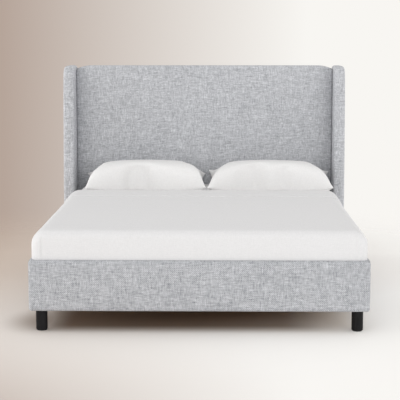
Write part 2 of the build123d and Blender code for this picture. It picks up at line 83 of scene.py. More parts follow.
class NodeBench:
    """Lays nodes into one tree and joins them."""

    def __init__(self, tree: Tree) -> None:
        """Starts on a tree, emptied."""
        self.tree = tree
        self.tree.nodes.clear()

    def add(self, kind: str, **settings: object) -> Node:
        """Adds a node.

        Args:
            kind: The node's type name.
            **settings: Properties to set on it.

        Returns:
            The new node.
        """
        node = self.tree.nodes.new(kind)
        for name, value in settings.items():
            setattr(node, name, value)
        return node

    def feed(self, socket: Socket, value: object) -> None:
        """Gives an input socket either a constant or another node's output."""
        if isinstance(value, Socket):
            self.tree.links.new(value, socket)
        elif value is not None:
            wants_colour = socket.type == "RGBA" and len(tuple(value)) == 3
            socket.default_value = (*value, 1.0) if wants_colour else value

    def fill(self, node: Node, **values: object) -> Node:
        """Feeds a node's inputs by their names.

        Args:
            node: The node.
            **values: Its inputs, with underscores for the spaces in their names.

        Returns:
            The same node.
        """
        for name, value in values.items():
            self.feed(node.inputs[name.replace("_", " ")], value)
        return node

    def row(self, node: Node, values: Iterable[object]) -> Node:
        """Feeds a node's inputs in their order."""
        for socket, value in zip(node.inputs, values):
            self.feed(socket, value)
        return node

    def maths(self, operation: str, *values: object) -> Socket:
        """A Math node's result."""
        return self.row(self.add("ShaderNodeMath", operation=operation), values).outputs[0]

    def times(self, first: object, second: object) -> Socket:
        """Two numbers multiplied."""
        return self.maths("MULTIPLY", first, second)

    def total(self, *terms: tuple[object, object]) -> Socket:
        """Numbers times their weights, added up."""
        weighed = [value if weight == 1 else self.times(value, weight) for value, weight in terms]
        result = weighed[0]
        for term in weighed[1:]:
            result = self.maths("ADD", result, term)
        return result

    def vectors(self, operation: str, *values: object) -> Socket:
        """A Vector Math node's result."""
        node = self.row(self.add("ShaderNodeVectorMath", operation=operation), values)
        return node.outputs["Value" if operation == "LENGTH" else "Vector"]

    def split(self, vector: object) -> tuple[Socket, ...]:
        """The three parts of a vector."""
        return tuple(self.fill(self.add("ShaderNodeSeparateXYZ"), Vector=vector).outputs)

    def join(self, *parts: object) -> Socket:
        """A vector from its three parts."""
        return self.row(self.add("ShaderNodeCombineXYZ"), parts).outputs[0]

    def noise(self, vector: object, scale: object = 1.0, detail: float = 2.0,
              roughness: float = 0.5, warp: float = 0.0) -> Socket:
        """A Noise texture's value, about 0.5 on average."""
        return self.fill(
            self.add("ShaderNodeTexNoise"), Vector=vector, Scale=scale, Detail=detail,
            Roughness=roughness, Distortion=warp,
        ).outputs[0]

    def reach(self, value: object, low: object, high: object, to_low: float = 0.0,
              to_high: float = 1.0, smooth: bool = True) -> Socket:
        """A value mapped from one range to another and held inside it."""
        kind = "SMOOTHSTEP" if smooth else "LINEAR"
        node = self.add("ShaderNodeMapRange", interpolation_type=kind)
        return self.row(node, (value, low, high, to_low, to_high)).outputs[0]

    def mix(self, share: object, first: object, second: object) -> Socket:
        """A colour between two colours."""
        node = self.add("ShaderNodeMix", data_type="RGBA")
        for number, value in ((0, share), (6, first), (7, second)):
            self.feed(node.inputs[number], value)
        return node.outputs[2]

    def place(self, group: Tree, **values: object) -> Node:
        """Puts a shader group into the tree, its inputs given as in fill."""
        return self.fill(self.add("ShaderNodeGroup", node_tree=group), **values)

    def relief(self, height: object, distance: float, under: object = None) -> Socket:
        """A Bump node's normal from a height, over another normal if there is one."""
        node = self.fill(self.add("ShaderNodeBump"), Height=height, Distance=distance, Normal=under)
        return node.outputs[0]


def new_group(
    name: str, inputs: Sequence[tuple[str, str, object]], outputs: Sequence[tuple[str, str]]
) -> tuple[NodeBench, Node, Node]:
    """Starts a shader group.

    Args:
        name: The group's name.
        inputs: (name, socket type, first value) of each input.
        outputs: (name, socket type) of each output.

    Returns:
        The bench on its tree, its input node and its output node.
    """
    group = bpy.data.node_groups.new(name, "ShaderNodeTree")
    for title, kind, value in inputs:
        socket = group.interface.new_socket(title, in_out="INPUT", socket_type=kind)
        if value is not None:
            socket.default_value = value
    for title, kind in outputs:
        group.interface.new_socket(title, in_out="OUTPUT", socket_type=kind)
    bench = NodeBench(group)
    return bench, bench.add("NodeGroupInput"), bench.add("NodeGroupOutput")


VECTOR, FLOAT = "NodeSocketVector", "NodeSocketFloat"
# How far apart the noise is read for neighbouring yarns, so that each has a tone of its own.
YARN_APART = 7.37
# How many bundles wide the broadest streaks are.
BROAD_BUNDLE = 2.3
# Patches to the metre, across and up, in which warp or weft comes forward.
PATCHES = (15.0, 19.0)
# The average of the three thread tones added up.
THREAD_MIDDLE = 1.65


def slub_weave() -> Tree:
    """Plain weave of uneven yarn: each yarn has its own tones, and nubs make dark and pale flecks.

    Returns:
        The group. Shade runs from 0, dark yarn, to 1, pale yarn.
    """
    bench, given, made = new_group(
        "slub_weave",
        [("Vector", VECTOR, None), ("Yarn", FLOAT, 0.0024), ("Slub Width", FLOAT, 0.008),
         ("Slub Length", FLOAT, 0.05), ("Contrast", FLOAT, 1.0), ("Fleck", FLOAT, 0.5)],
        [("Shade", FLOAT), ("Height", FLOAT)],
    )
    vector, yarn, width, length, contrast, fleck = given.outputs[:6]
    u, v, _ = bench.split(vector)
    across, up = bench.maths("DIVIDE", u, yarn), bench.maths("DIVIDE", v, yarn)

    def yarn_tone(yarns: object, run: object, seed: float, spread: float) -> Socket:
        """One tone per yarn or bundle of yarns, changing along it."""
        number = bench.times(bench.maths("FLOOR", yarns), YARN_APART)
        reach = bench.maths("DIVIDE", run, bench.times(length, spread))
        return bench.noise(bench.join(number, reach, seed), roughness=0.65)

    def thread_tone(place: object, yarns: object, run: object, seed: float) -> Socket:
        """Single yarns and bundles of them together."""
        single = yarn_tone(yarns, run, seed, 1.0)
        bundle = yarn_tone(bench.maths("DIVIDE", place, width), run, seed + 3.3, 0.8)
        wide = bench.times(width, BROAD_BUNDLE)
        broad = yarn_tone(bench.maths("DIVIDE", place, wide), run, seed + 8.8, 1.3)
        return bench.total((single, 1.6), (bundle, 1.4), (broad, 0.3))

    def checks(turn: float) -> Socket:
        """Squares that stand out and lie back by turns."""
        waves = [bench.maths("SINE", bench.times(yarns, turn)) for yarns in (across, up)]
        return bench.times(*waves)

    warp, weft = thread_tone(u, across, v, 1.7), thread_tone(v, up, u, 5.3)
    cells, blocks = checks(math.pi), checks(math.pi / 2)
    spot = bench.join(bench.times(u, PATCHES[0]), bench.times(v, PATCHES[1]), 3.1)
    patch = bench.maths("SUBTRACT", bench.noise(spot), 0.5)
    lean = bench.total((cells, 0.3), (patch, 0.9))
    blend = bench.add("ShaderNodeMix", data_type="FLOAT")
    for number, value in ((0, bench.reach(lean, -0.8, 0.8)), (2, warp), (3, weft)):
        bench.feed(blend.inputs[number], value)
    streaky = bench.maths("SUBTRACT", blend.outputs[0], THREAD_MIDDLE)

    spot = bench.join(bench.maths("DIVIDE", u, width), bench.maths("DIVIDE", v, width), 21.0)
    nub = bench.noise(spot, scale=0.9, detail=1.0)
    dark, pale = bench.reach(nub, 0.60, 0.72), bench.reach(nub, 0.40, 0.28)
    flecks = bench.times(bench.maths("SUBTRACT", pale, dark), fleck)
    shade = bench.total((streaky, 3.0), (flecks, 1), (cells, 0.12), (blocks, 0.50))
    shade = bench.total((shade, contrast), (0.5, 1))
    height = bench.total((cells, 0.45), (streaky, 0.9))
    bench.fill(made, Shade=bench.reach(shade, 0.0, 1.0, smooth=False), Height=height)
    return bench.tree


def soft_creases() -> Tree:
    """The slight waves and dimples of cloth that lies or is drawn over something soft.

    Returns:
        The group, whose Height is in shares of the bump distance.
    """
    bench, given, made = new_group(
        "soft_creases",
        [("Vector", VECTOR, None), ("Size", FLOAT, 0.12), ("Fine", FLOAT, 0.3)],
        [("Height", FLOAT), ("Tone", FLOAT)],
    )
    vector, size, fine = given.outputs[:3]
    scale = bench.maths("DIVIDE", 1.0, size)
    broad = bench.noise(vector, scale, roughness=0.45, warp=0.4)
    narrow = bench.noise(vector, bench.times(scale, 5.0), detail=3.0, warp=0.6)
    height = bench.total((broad, 1), (narrow, fine))
    bench.fill(made, Height=height, Tone=bench.reach(broad, 0.3, 0.7))
    return bench.tree


def wood_grain() -> Tree:
    """Growth rings and fine pores, drawn out along one axis of the piece.

    Returns:
        The group. Along says how the coordinate is squeezed, part by part, so that the grain runs.
    """
    bench, given, made = new_group(
        "wood_grain",
        [("Vector", VECTOR, None), ("Along", VECTOR, (1.0, 1.0, 1.0)), ("Ring", FLOAT, 0.012)],
        [("Tone", FLOAT), ("Pore", FLOAT), ("Height", FLOAT)],
    )
    vector, along, ring = given.outputs[:3]
    run = bench.vectors("MULTIPLY", vector, along)
    bent = bench.maths("DIVIDE", bench.noise(run, scale=6.0, detail=3.0, warp=0.3), ring)
    rings = bench.total((bench.maths("SINE", bench.times(bent, 0.9)), 1), (1.0, 1))
    rings = bench.times(rings, 0.5)
    close = bench.vectors("MULTIPLY", run, (9.0, 9.0, 9.0))
    pores = bench.noise(close, scale=40.0, detail=3.0, roughness=0.6)
    height = bench.total((rings, 0.4), (pores, 0.6))
    bench.fill(made, Tone=rings, Pore=bench.reach(pores, 0.35, 0.65), Height=height)
    return bench.tree


def light_wear() -> Tree:
    """Patches of handling and dust, in no regular order.

    Returns:
        The group. Dust and Scuff are masks from 0 to 1.
    """
    bench, given, made = new_group(
        "light_wear",
        [("Vector", VECTOR, None), ("Size", FLOAT, 0.05)],
        [("Dust", FLOAT), ("Scuff", FLOAT)],
    )
    vector, size = given.outputs[:2]
    scale = bench.maths("DIVIDE", 1.0, size)
    broad = bench.noise(vector, scale, detail=4.0, roughness=0.6, warp=0.5)
    fine = bench.noise(vector, bench.times(scale, 9.0), roughness=0.7)
    dust = bench.times(bench.reach(broad, 0.45, 0.75), fine)
    bench.fill(made, Dust=dust, Scuff=bench.reach(bench.times(broad, fine), 0.32, 0.42))
    return bench.tree


SLUB_WEAVE, SOFT_CREASES, WOOD_GRAIN, LIGHT_WEAR = (
    slub_weave(), soft_creases(), wood_grain(), light_wear()
)


# ---- Finishes ----


class GrainAxis(Enum):
    """The way that the grain of a piece of wood runs."""

    ACROSS = (0.12, 1.0, 1.0)
    LENGTHWISE = (1.0, 0.12, 1.0)
    UPRIGHT = (1.0, 1.0, 0.12)


def new_material(label: str) -> tuple[bpy.types.Material, NodeBench, Node]:
    """Starts a material on one shader.

    Args:
        label: The material's name.

    Returns:
        The material, the bench on its tree and its Principled shader.
    """
    made = bpy.data.materials.new(label)
    made.use_nodes = True
    bench = NodeBench(made.node_tree)
    output = bench.add("ShaderNodeOutputMaterial")
    shader = bench.add("ShaderNodeBsdfPrincipled")
    bench.fill(output, Surface=shader.outputs[0])
    return made, bench, shader


@dataclass(frozen=True)
class Finish:
    """What every finish has: a name, a roughness and a way to lay its nodes."""

    name: str
    roughness: float

    def material(self) -> bpy.types.Material:
        """The finish as a material, made once.

        Returns:
            The material.
        """
        label = f"{self.name}_finish"
        made = bpy.data.materials.get(label)
        if made is None:
            made, bench, shader = new_material(label)
            bench.fill(shader, Roughness=self.roughness)
            self.lay(bench, shader)
        return made

    def lay(self, bench: NodeBench, shader: Node) -> None:
        """Lays the finish's own nodes.

        Args:
            bench: The bench on the material's tree.
            shader: Its Principled shader.
        """
        raise NotImplementedError

    def dusted(self, bench: NodeBench, wear: Node, more: float) -> Socket:
        """The roughness, greater where dust lies."""
        return bench.reach(wear.outputs["Dust"], 0.0, 0.6, self.roughness, self.roughness + more)


def own_place(bench: NodeBench) -> Socket:
    """The place on the piece in metres."""
    return bench.add("ShaderNodeTexCoord").outputs["Object"]


CLOTH_MAP = "cloth"


def cloth_place(bench: NodeBench) -> Socket:
    """The place on the cloth in metres, along the weft and the warp."""
    return bench.add("ShaderNodeUVMap", uv_map=CLOTH_MAP).outputs[0]


@dataclass(frozen=True, kw_only=True)
class WovenCloth(Finish):
    """A woven cloth: slubby linen, smooth cotton or plain lining, by its yarn and its colours."""

    dark: Colour
    pale: Colour
    yarn: float
    slub_width: float
    slub_length: float
    contrast: float
    fleck: float
    weave_depth: float
    crease_size: float
    crease_depth: float
    crease_tint: float = 0.05
    sheen: float = 0.1
    smoother: float = 0.08
    gloss: float = 0.25
    roughness: float = 0.9

    def lay(self, bench: NodeBench, shader: Node) -> None:
        """Lays the weave, its colours and the slight creases under it."""
        weave = bench.place(
            SLUB_WEAVE, Vector=cloth_place(bench), Yarn=self.yarn, Slub_Width=self.slub_width,
            Slub_Length=self.slub_length, Contrast=self.contrast, Fleck=self.fleck,
        )
        creases = bench.place(SOFT_CREASES, Vector=own_place(bench), Size=self.crease_size)
        # worn here is the share by which the cloth is mixed towards its pale colour where the broad
        # creases stand out.
        shade, worn = weave.outputs["Shade"], bench.times(creases.outputs["Tone"], self.crease_tint)
        under = bench.relief(creases.outputs["Height"], self.crease_depth)
        bench.fill(
            shader,
            Base_Color=bench.mix(worn, bench.mix(shade, self.dark, self.pale), self.pale),
            Roughness=bench.reach(shade, 0.0, 1.0, self.roughness, self.roughness - self.smoother),
            Normal=bench.relief(weave.outputs["Height"], self.weave_depth, under),
            Sheen_Weight=self.sheen, Sheen_Roughness=0.5, Specular_IOR_Level=self.gloss,
        )


@dataclass(frozen=True, kw_only=True)
class Wood(Finish):
    """Bare or painted wood, by its grain, its rings and its colours."""

    early: Colour
    late: Colour
    grain: GrainAxis
    ring: float = 0.012
    show: float
    pore_show: float = 0.25
    scuff_show: float = 0.35
    relief: float = 0.0002
    gloss: float = 0.5
    scuffed: Colour

    def lay(self, bench: NodeBench, shader: Node) -> None:
        """Lays rings, pores and a little handling wear."""
        place = own_place(bench)
        grain = bench.place(WOOD_GRAIN, Vector=place, Along=self.grain.value, Ring=self.ring)
        wear = bench.place(LIGHT_WEAR, Vector=place)
        tone = self.early
        for mask, share, colour in (
            (grain.outputs["Tone"], self.show, self.late),
            (grain.outputs["Pore"], self.pore_show * self.show, self.late),
            (wear.outputs["Scuff"], self.scuff_show, self.scuffed),
        ):
            tone = bench.mix(bench.times(mask, share), tone, colour)
        bench.fill(
            shader, Base_Color=tone, Roughness=self.dusted(bench, wear, 0.15),
            Normal=bench.relief(grain.outputs["Height"], self.relief),
            Specular_IOR_Level=self.gloss,
        )


@dataclass(frozen=True)
class Plywood(Finish):
    """Birch plywood: pale faces, and thin layers of turned grain on the cut edges."""

    face: Colour = (0.62, 0.46, 0.28)
    core: Colour = (0.42, 0.27, 0.14)
    layer: float = 0.0016
    ring: float = 0.02
    grain_show: float = 0.4
    layer_show: float = 0.3
    relief: float = 0.0002

    def lay(self, bench: NodeBench, shader: Node) -> None:
        """Lays the face grain and the layers."""
        place = own_place(bench)
        grain = bench.place(WOOD_GRAIN, Vector=place, Along=GrainAxis.UPRIGHT.value, Ring=self.ring)
        x, y, _ = bench.split(place)
        depth = bench.maths("SINE", bench.times(bench.maths("ADD", x, y), math.pi / self.layer))
        layers = bench.times(bench.reach(depth, -0.2, 0.2), self.layer_show)
        tone = bench.mix(bench.times(grain.outputs["Tone"], self.grain_show), self.face, self.core)
        height = bench.relief(grain.outputs["Height"], self.relief)
        bench.fill(shader, Base_Color=bench.mix(layers, tone, self.core), Normal=height)


@dataclass(frozen=True, kw_only=True)
class Metal(Finish):
    """Zinc-plated or powder-coated steel."""

    body: Colour
    worn: Colour
    metallic: float = 1.0
    speckle: float = 0.0015
    relief: float = 0.00008

    def lay(self, bench: NodeBench, shader: Node) -> None:
        """Lays fine mottling, scuffs and dust."""
        place = own_place(bench)
        wear = bench.place(LIGHT_WEAR, Vector=place, Size=0.02)
        mottle = bench.noise(place, 1.0 / self.speckle, roughness=0.6)
        tone = bench.mix(bench.reach(mottle, 0.3, 0.7), self.body, self.worn)
        bench.fill(
            shader, Base_Color=bench.mix(wear.outputs["Scuff"], tone, self.worn),
            Metallic=self.metallic, Roughness=self.dusted(bench, wear, 0.2),
            Normal=bench.relief(mottle, self.relief),
        )


@dataclass(frozen=True, kw_only=True)
class Moulded(Finish):
    """Moulded plastic or foam with a fine open or closed grain."""

    body: Colour
    dusty: Colour
    grain: float = 0.0012
    depth: float = 0.0001
    dust_show: float = 0.5
    grain_show: float = 0.3

    def lay(self, bench: NodeBench, shader: Node) -> None:
        """Lays the moulded grain and a little dust."""
        place = own_place(bench)
        wear = bench.place(LIGHT_WEAR, Vector=place, Size=0.03)
        cells = bench.noise(place, 1.0 / self.grain)
        tone = bench.mix(bench.times(wear.outputs["Dust"], self.dust_show), self.body, self.dusty)
        open_cells = bench.times(bench.reach(cells, 0.55, 0.75), self.grain_show)
        tone = bench.mix(open_cells, tone, self.dusty)
        bench.fill(shader, Base_Color=tone, Normal=bench.relief(cells, self.depth))


UPHOLSTERY = WovenCloth(
    "upholstery_cloth", dark=painted(118, 120, 125), pale=painted(216, 217, 220), yarn=0.0024,
    slub_width=0.0026, slub_length=0.038, contrast=0.37, fleck=0.12, weave_depth=0.0006,
    crease_size=0.22, crease_depth=0.0012, sheen=0.08,
)
# Painted light: the same cloth as the upholstery, made paler so that the headboard and wings render
# brighter.
HEAD_UPHOLSTERY_PAINTED_LIGHT = replace(
    UPHOLSTERY, name="head_upholstery_painted_light", dark=painted(125, 127, 132), pale=painted(229, 230, 233)
)
COTTON = WovenCloth(
    "white_cotton", dark=painted(216, 215, 215), pale=painted(228, 227, 227), yarn=0.0005,
    slub_width=0.0012, slub_length=0.02, contrast=0.5, fleck=0.1, weave_depth=0.00008,
    crease_size=0.16, crease_depth=0.0016, sheen=0.06, roughness=0.85,
)
# Painted light: the same white cotton made paler, so that the pillows render brighter than the
# sheets.
PILLOW_COTTON_PAINTED_LIGHT = replace(
    COTTON, name="pillow_cotton_painted_light", dark=painted(226, 225, 224), pale=painted(238, 237, 236)
)
TICKING = WovenCloth(
    "mattress_ticking", dark=painted(196, 196, 198), pale=painted(236, 235, 232), yarn=0.0009,
    slub_width=0.003, slub_length=0.012, contrast=0.9, fleck=0.2, weave_depth=0.0003,
    crease_size=0.06, crease_depth=0.0015,
)
LINING = WovenCloth(
    "back_cloth", dark=painted(34, 34, 36), pale=painted(66, 66, 69), yarn=0.0011,
    slub_width=0.0025, slub_length=0.01, contrast=1.0, fleck=0.4, weave_depth=0.00025,
    crease_size=0.3, crease_depth=0.002,
)
BLACK_WOOD = Wood(
    "black_wood", roughness=0.5, early=painted(25, 24, 26), late=painted(15, 14, 16),
    grain=GrainAxis.UPRIGHT, show=0.8, relief=0.00012, gloss=0.2, scuffed=painted(46, 44, 44),
)
PINE = Wood(
    "pine", roughness=0.62, early=painted(222, 190, 142), late=painted(186, 142, 92),
    grain=GrainAxis.ACROSS, show=0.7, scuffed=painted(200, 176, 140),
)
PINE_LENGTHWISE = Wood(
    "pine_lengthwise", roughness=0.62, early=painted(218, 186, 140), late=painted(180, 136, 88),
    grain=GrainAxis.LENGTHWISE, show=0.7, scuffed=painted(198, 172, 136),
)
PLYWOOD = Plywood("plywood", roughness=0.66)
ZINC = Metal("zinc_steel", roughness=0.36, body=painted(150, 152, 156), worn=painted(196, 196, 194))
BLACK_STEEL = Metal(
    "black_steel", roughness=0.5, body=painted(26, 26, 28), worn=painted(52, 52, 54), metallic=0.2
)
PAD_PLASTIC = Moulded(
    "pad_plastic", roughness=0.55, body=painted(30, 30, 32), dusty=painted(84, 82, 80)
)
FOAM = Moulded(
    "foam", roughness=0.95, body=painted(236, 224, 188), dusty=painted(216, 200, 160), grain=0.0018,
    depth=0.0008,
)
SLOT_FINISHES: dict[str, Finish] = {
    made.name: made
    for made in (UPHOLSTERY, COTTON, TICKING, LINING, BLACK_WOOD, PINE, PLYWOOD, ZINC, BLACK_STEEL,
                 PAD_PLASTIC, FOAM)
}


# ---- Mesh tools ----


X, Y, Z = range(3)
# Two lengths closer than this are the same, in metres.
SAME = 1e-5
# A hair's breadth: points this close to a wall of a box lie on it.
HAIR = 0.001
# How far along the cloth the far side of a piece is cut from.
FAR_SIDE = 1.37
# Edges that turn more than this many degrees stay sharp.
SHARP = 50.0
# Parts of a direction along an axis: of one parallel to it, of a face square to it, of a face that
# looks that way at all, and of one turned halfway.
PARALLEL, SQUARE, FACING, HALFWAY = 0.999, 0.99, 0.9, 0.5


def boxed(low: Sequence[float], high: Sequence[float]) -> Shape:
    """A mesh of one box between two opposite corners."""
    low, high = Vector(low), Vector(high)
    bm = bmesh.new()
    bmesh.ops.create_cube(bm, size=1.0)
    bmesh.ops.scale(bm, vec=high - low, verts=bm.verts)
    bmesh.ops.translate(bm, vec=(low + high) / 2, verts=bm.verts)
    return bm


def near(value: float, target: float) -> bool:
    """Whether two lengths are the same."""
    return abs(value - target) < SAME


def middle(item: object) -> Vector:
    """The middle of an edge or a face."""
    return sum((v.co for v in item.verts), Vector()) / len(item.verts)


def running(bm: Shape, axis: int, across: int = X,
            at: Optional[float] = None) -> list[Edge]:
    """The edges that run along one axis, all or only those at one place across it.

    Args:
        bm: The mesh.
        axis: The axis that they run along.
        across: The axis to measure their place by.
        at: Their place on it.

    Returns:
        The edges.
    """
    ways = [(e, (e.verts[1].co - e.verts[0].co).normalized()) for e in bm.edges]
    edges = [e for e, way in ways if abs(way[axis]) > PARALLEL]
    return [e for e in edges if at is None or near(e.verts[0].co[across], at)]


def lies_at(edge: Edge, axis: int, place: float) -> bool:
    """Whether an edge lies whole at one place along an axis."""
    return all(near(v.co[axis], place) for v in edge.verts)


def rim(bm: Shape, axis: int, place: float) -> list[Edge]:
    """The edges that lie whole at one place along an axis."""
    return [e for e in bm.edges if lies_at(e, axis, place)]


def round_off(bm: Shape, picked: Iterable[object], radius: float, steps: int,
              kind: str = "EDGES") -> None:
    """Rounds edges or corners.

    Args:
        bm: The mesh.
        picked: The edges, or the corners of a flat outline.
        radius: The radius in metres.
        steps: How many faces go round the curve.
        kind: EDGES or VERTICES.
    """
    bmesh.ops.bevel(
        bm, geom=list(picked), offset=radius, offset_type="OFFSET", affect=kind, segments=steps,
        profile=0.5, material=-1, clamp_overlap=True,
    )


def outlined(x: float, outline: Iterable[Pair]) -> Shape:
    """A mesh of one flat face, by its outline in Y and Z."""
    bm = bmesh.new()
    bm.faces.new([bm.verts.new((x, y, z)) for y, z in outline])
    return bm


def sweep(bm: Shape, run: float) -> None:
    """Draws the one face of a mesh out along X into a solid."""
    swept = bmesh.ops.extrude_face_region(bm, geom=bm.faces[:])
    moved = [v for v in swept["geom"] if isinstance(v, bmesh.types.BMVert)]
    bmesh.ops.translate(bm, vec=(run, 0, 0), verts=moved)
    bmesh.ops.recalc_face_normals(bm, faces=bm.faces)


def rounded_block(low: Sequence[float], high: Sequence[float], corner: float,
                  rims: Sequence[float]) -> Shape:
    """A block with rounded upright corners and a rounded rim below and above.

    Args:
        low: Its lowest corner.
        high: Its highest corner.
        corner: The radius of the upright corners.
        rims: The radii of the lower and the upper rim.

    Returns:
        The mesh.
    """
    bm = boxed(low, high)
    round_off(bm, running(bm, Z), corner, 8)
    for box_corner, radius in zip((low, high), rims):
        round_off(bm, rim(bm, Z, box_corner[Z]), radius, 7)
    return bm


def draped_block(low: Vector, high: Vector, shoulder: float, end: float, roll: float,
                 steps: int) -> Shape:
    """A block rounded along both upper long edges and round the rim of one end.

    Args:
        low: Its lowest corner.
        high: Its highest corner.
        shoulder: The radius of the long edges.
        end: The place of the rounded end along Y.
        roll: The radius of its rim.
        steps: How many faces go round the rim.

    Returns:
        The mesh.
    """
    bm = boxed(low, high)
    round_off(bm, running(bm, Y, Z, high.z), shoulder, 12)
    round_off(bm, [e for e in rim(bm, Y, end) if middle(e).z > low.z + HAIR], roll, steps)
    return bm


def cut_across(bm: Shape, axis: int, places: Iterable[float]) -> None:
    """Cuts a mesh through at places along an axis, so that it can bend there."""
    normal = Vector([float(k == axis) for k in range(3)])
    for place in places:
        geometry = bm.verts[:] + bm.edges[:] + bm.faces[:]
        bmesh.ops.bisect_plane(
            bm, geom=geometry, dist=1e-6, plane_co=normal * place, plane_no=normal
        )


def spaced(low: float, high: float, pitch: float) -> list[float]:
    """Evenly spaced places between two ends, about a pitch apart."""
    count = max(1, round((high - low) / pitch))
    return [low + (high - low) * k / count for k in range(1, count)]


def puff(bm: Shape, push: Callable[[Vector, Vector], float]) -> None:
    """Moves every point along its normal.

    Args:
        bm: The mesh.
        push: Gives the distance from a point's place and normal.
    """
    bm.normal_update()
    moves = [(v, v.normal * push(v.co, v.normal)) for v in bm.verts]
    for vertex, move in moves:
        vertex.co += move


def drop_faces(bm: Shape, unwanted: Callable[[Face], bool]) -> None:
    """Deletes the faces that a test picks."""
    bm.normal_update()
    bmesh.ops.delete(bm, geom=[f for f in bm.faces if unwanted(f)], context="FACES")


def dome(share: float, power: float = 4.0) -> float:
    """1 in the middle of a span, falling to 0 at -1 and 1."""
    return max(0.0, 1.0 - abs(share) ** power)


def ease(value: float, low: float, high: float) -> float:
    """0 below low and 1 above high, smooth between."""
    share = min(1.0, max(0.0, (value - low) / (high - low)))
    return share * share * (3 - 2 * share)


def ripple(place: Vector, size: float, seed: float = 0.0) -> float:
    """Smooth noise from about -1 to 1 over lengths of a size."""
    return noise.noise(place / size + Vector((seed, seed * 0.7, -seed)))


def box_shares(place: Vector, low: Vector, high: Vector) -> list[float]:
    """Where a place is in a box, from -1 to 1 along each axis."""
    centre, half = (low + high) / 2, (high - low) / 2
    return [(place[k] - centre[k]) / half[k] for k in (X, Y, Z)]


@dataclass(frozen=True)
class Wave:
    """Irregular waves in a soft surface."""

    height: float
    size: float
    seed: float = 0.0

    def at(self, place: Vector) -> float:
        """How far the surface stands out at a place."""
        return self.height * ripple(place, self.size, self.seed)


def map_cloth(mesh: bpy.types.Mesh) -> None:
    """Lays the cloth's weft and warp over a mesh in metres, by the way that each face looks."""
    if CLOTH_MAP in mesh.uv_layers:
        mesh.uv_layers.remove(mesh.uv_layers[CLOTH_MAP])
    layer = mesh.uv_layers.new(name=CLOTH_MAP)
    for face in mesh.polygons:
        axis = max(range(3), key=lambda k: abs(face.normal[k]))
        u_axis, v_axis = ((1, 2), (0, 2), (0, 1))[axis]
        shift = FAR_SIDE if face.center[axis] > 0 else 0.0
        for corner in face.loop_indices:
            point = mesh.vertices[mesh.loops[corner].vertex_index].co
            layer.data[corner].uv = (point[u_axis] + shift, point[v_axis])


def finish_piece(
    bm: Shape,
    name: str,
    finish: Finish,
    body: str,
    stands_for: Sequence[str] = (),
) -> Piece:
    """Turns a mesh into a piece of the model.

    Args:
        bm: The mesh, which is used up.
        name: The piece's name.
        finish: Its finish.
        body: The body that it rides on.
        stands_for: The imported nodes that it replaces.

    Returns:
        The piece.
    """
    mesh = bpy.data.meshes.new(name)
    bm.normal_update()
    bm.to_mesh(mesh)
    bm.free()
    mesh.polygons.foreach_set("use_smooth", [True] * len(mesh.polygons))
    mesh.set_sharp_from_angle(angle=math.radians(SHARP))
    map_cloth(mesh)
    mesh.materials.append(finish.material())
    piece = bpy.data.objects.new(name, mesh)
    bpy.context.scene.collection.objects.link(piece)
    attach(piece, body)
    if stands_for:
        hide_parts(*stands_for)
    return piece


def thicken(piece: Piece, thickness: float) -> None:
    """Gives a single wall its thickness, on its inner side."""
    wall = piece.modifiers.new("thickness", "SOLIDIFY")
    wall.thickness, wall.offset, wall.use_even_offset = thickness, -1.0, False


# ---- Upholstery ----


def upholster(bm: Shape, part: str, finish: Finish,
              cloth: Optional[float] = None) -> Piece:
    """Turns a mesh into the padded cover of one part of the frame.

    Args:
        bm: The mesh, which is used up.
        part: The part, whose cover and foam it replaces.
        finish: The cloth.
        cloth: The cloth's thickness where the mesh is a single wall.

    Returns:
        The piece.
    """
    piece = finish_piece(
        bm, f"{part}_upholstery", finish, "frame",
        stands_for=(f"{part}_cover", f"{part}_foam"),
    )
    if cloth:
        thicken(piece, cloth)
    return piece


@dataclass
class Footboard:
    """The padded footboard, its cloth turned over the back in a hem."""

    edge: float = 0.014
    steps: int = 6
    crown: float = 0.003
    # The powers by which the padding falls off to the ends and to the top and bottom.
    flatness: Pair = (12, 3)
    wave: Wave = Wave(0.0006, 0.09)
    hem: float = 0.060
    cloth: float = 0.0015
    pitch: Pair = (0.03, 0.02)

    def build(self) -> Piece:
        """Makes the cover.

        Returns:
            The piece.
        """
        low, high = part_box("footboard_cover")
        bm = boxed(low, high)
        round_off(bm, running(bm, Y), self.edge, self.steps)
        round_off(bm, rim(bm, Y, low.y), self.edge, self.steps)
        inner, window_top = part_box("right_rail_board")[0].x, high.z - self.hem
        cut_across(bm, X, spaced(low.x, high.x, self.pitch[0]) + [-inner, inner])
        cut_across(bm, Z, spaced(low.z, high.z, self.pitch[1]) + [window_top])

        def in_window(face: Face) -> bool:
            """Whether a face is on the back, inside the hem and between the side rails."""
            x, _, z = middle(face)
            return face.normal.y > FACING and abs(x) < inner and z < window_top

        drop_faces(bm, in_window)

        def swell(place: Vector, normal: Vector) -> float:
            """How far the padding stands out."""
            x, _, z = box_shares(place, low, high)
            across = dome(x, self.flatness[0]) * dome(z, self.flatness[1])
            out = self.crown * across * max(0.0, -normal.y)
            return out + self.wave.at(place) * (normal.y < HALFWAY)

        puff(bm, swell)
        return upholster(bm, "footboard", UPHOLSTERY, self.cloth)


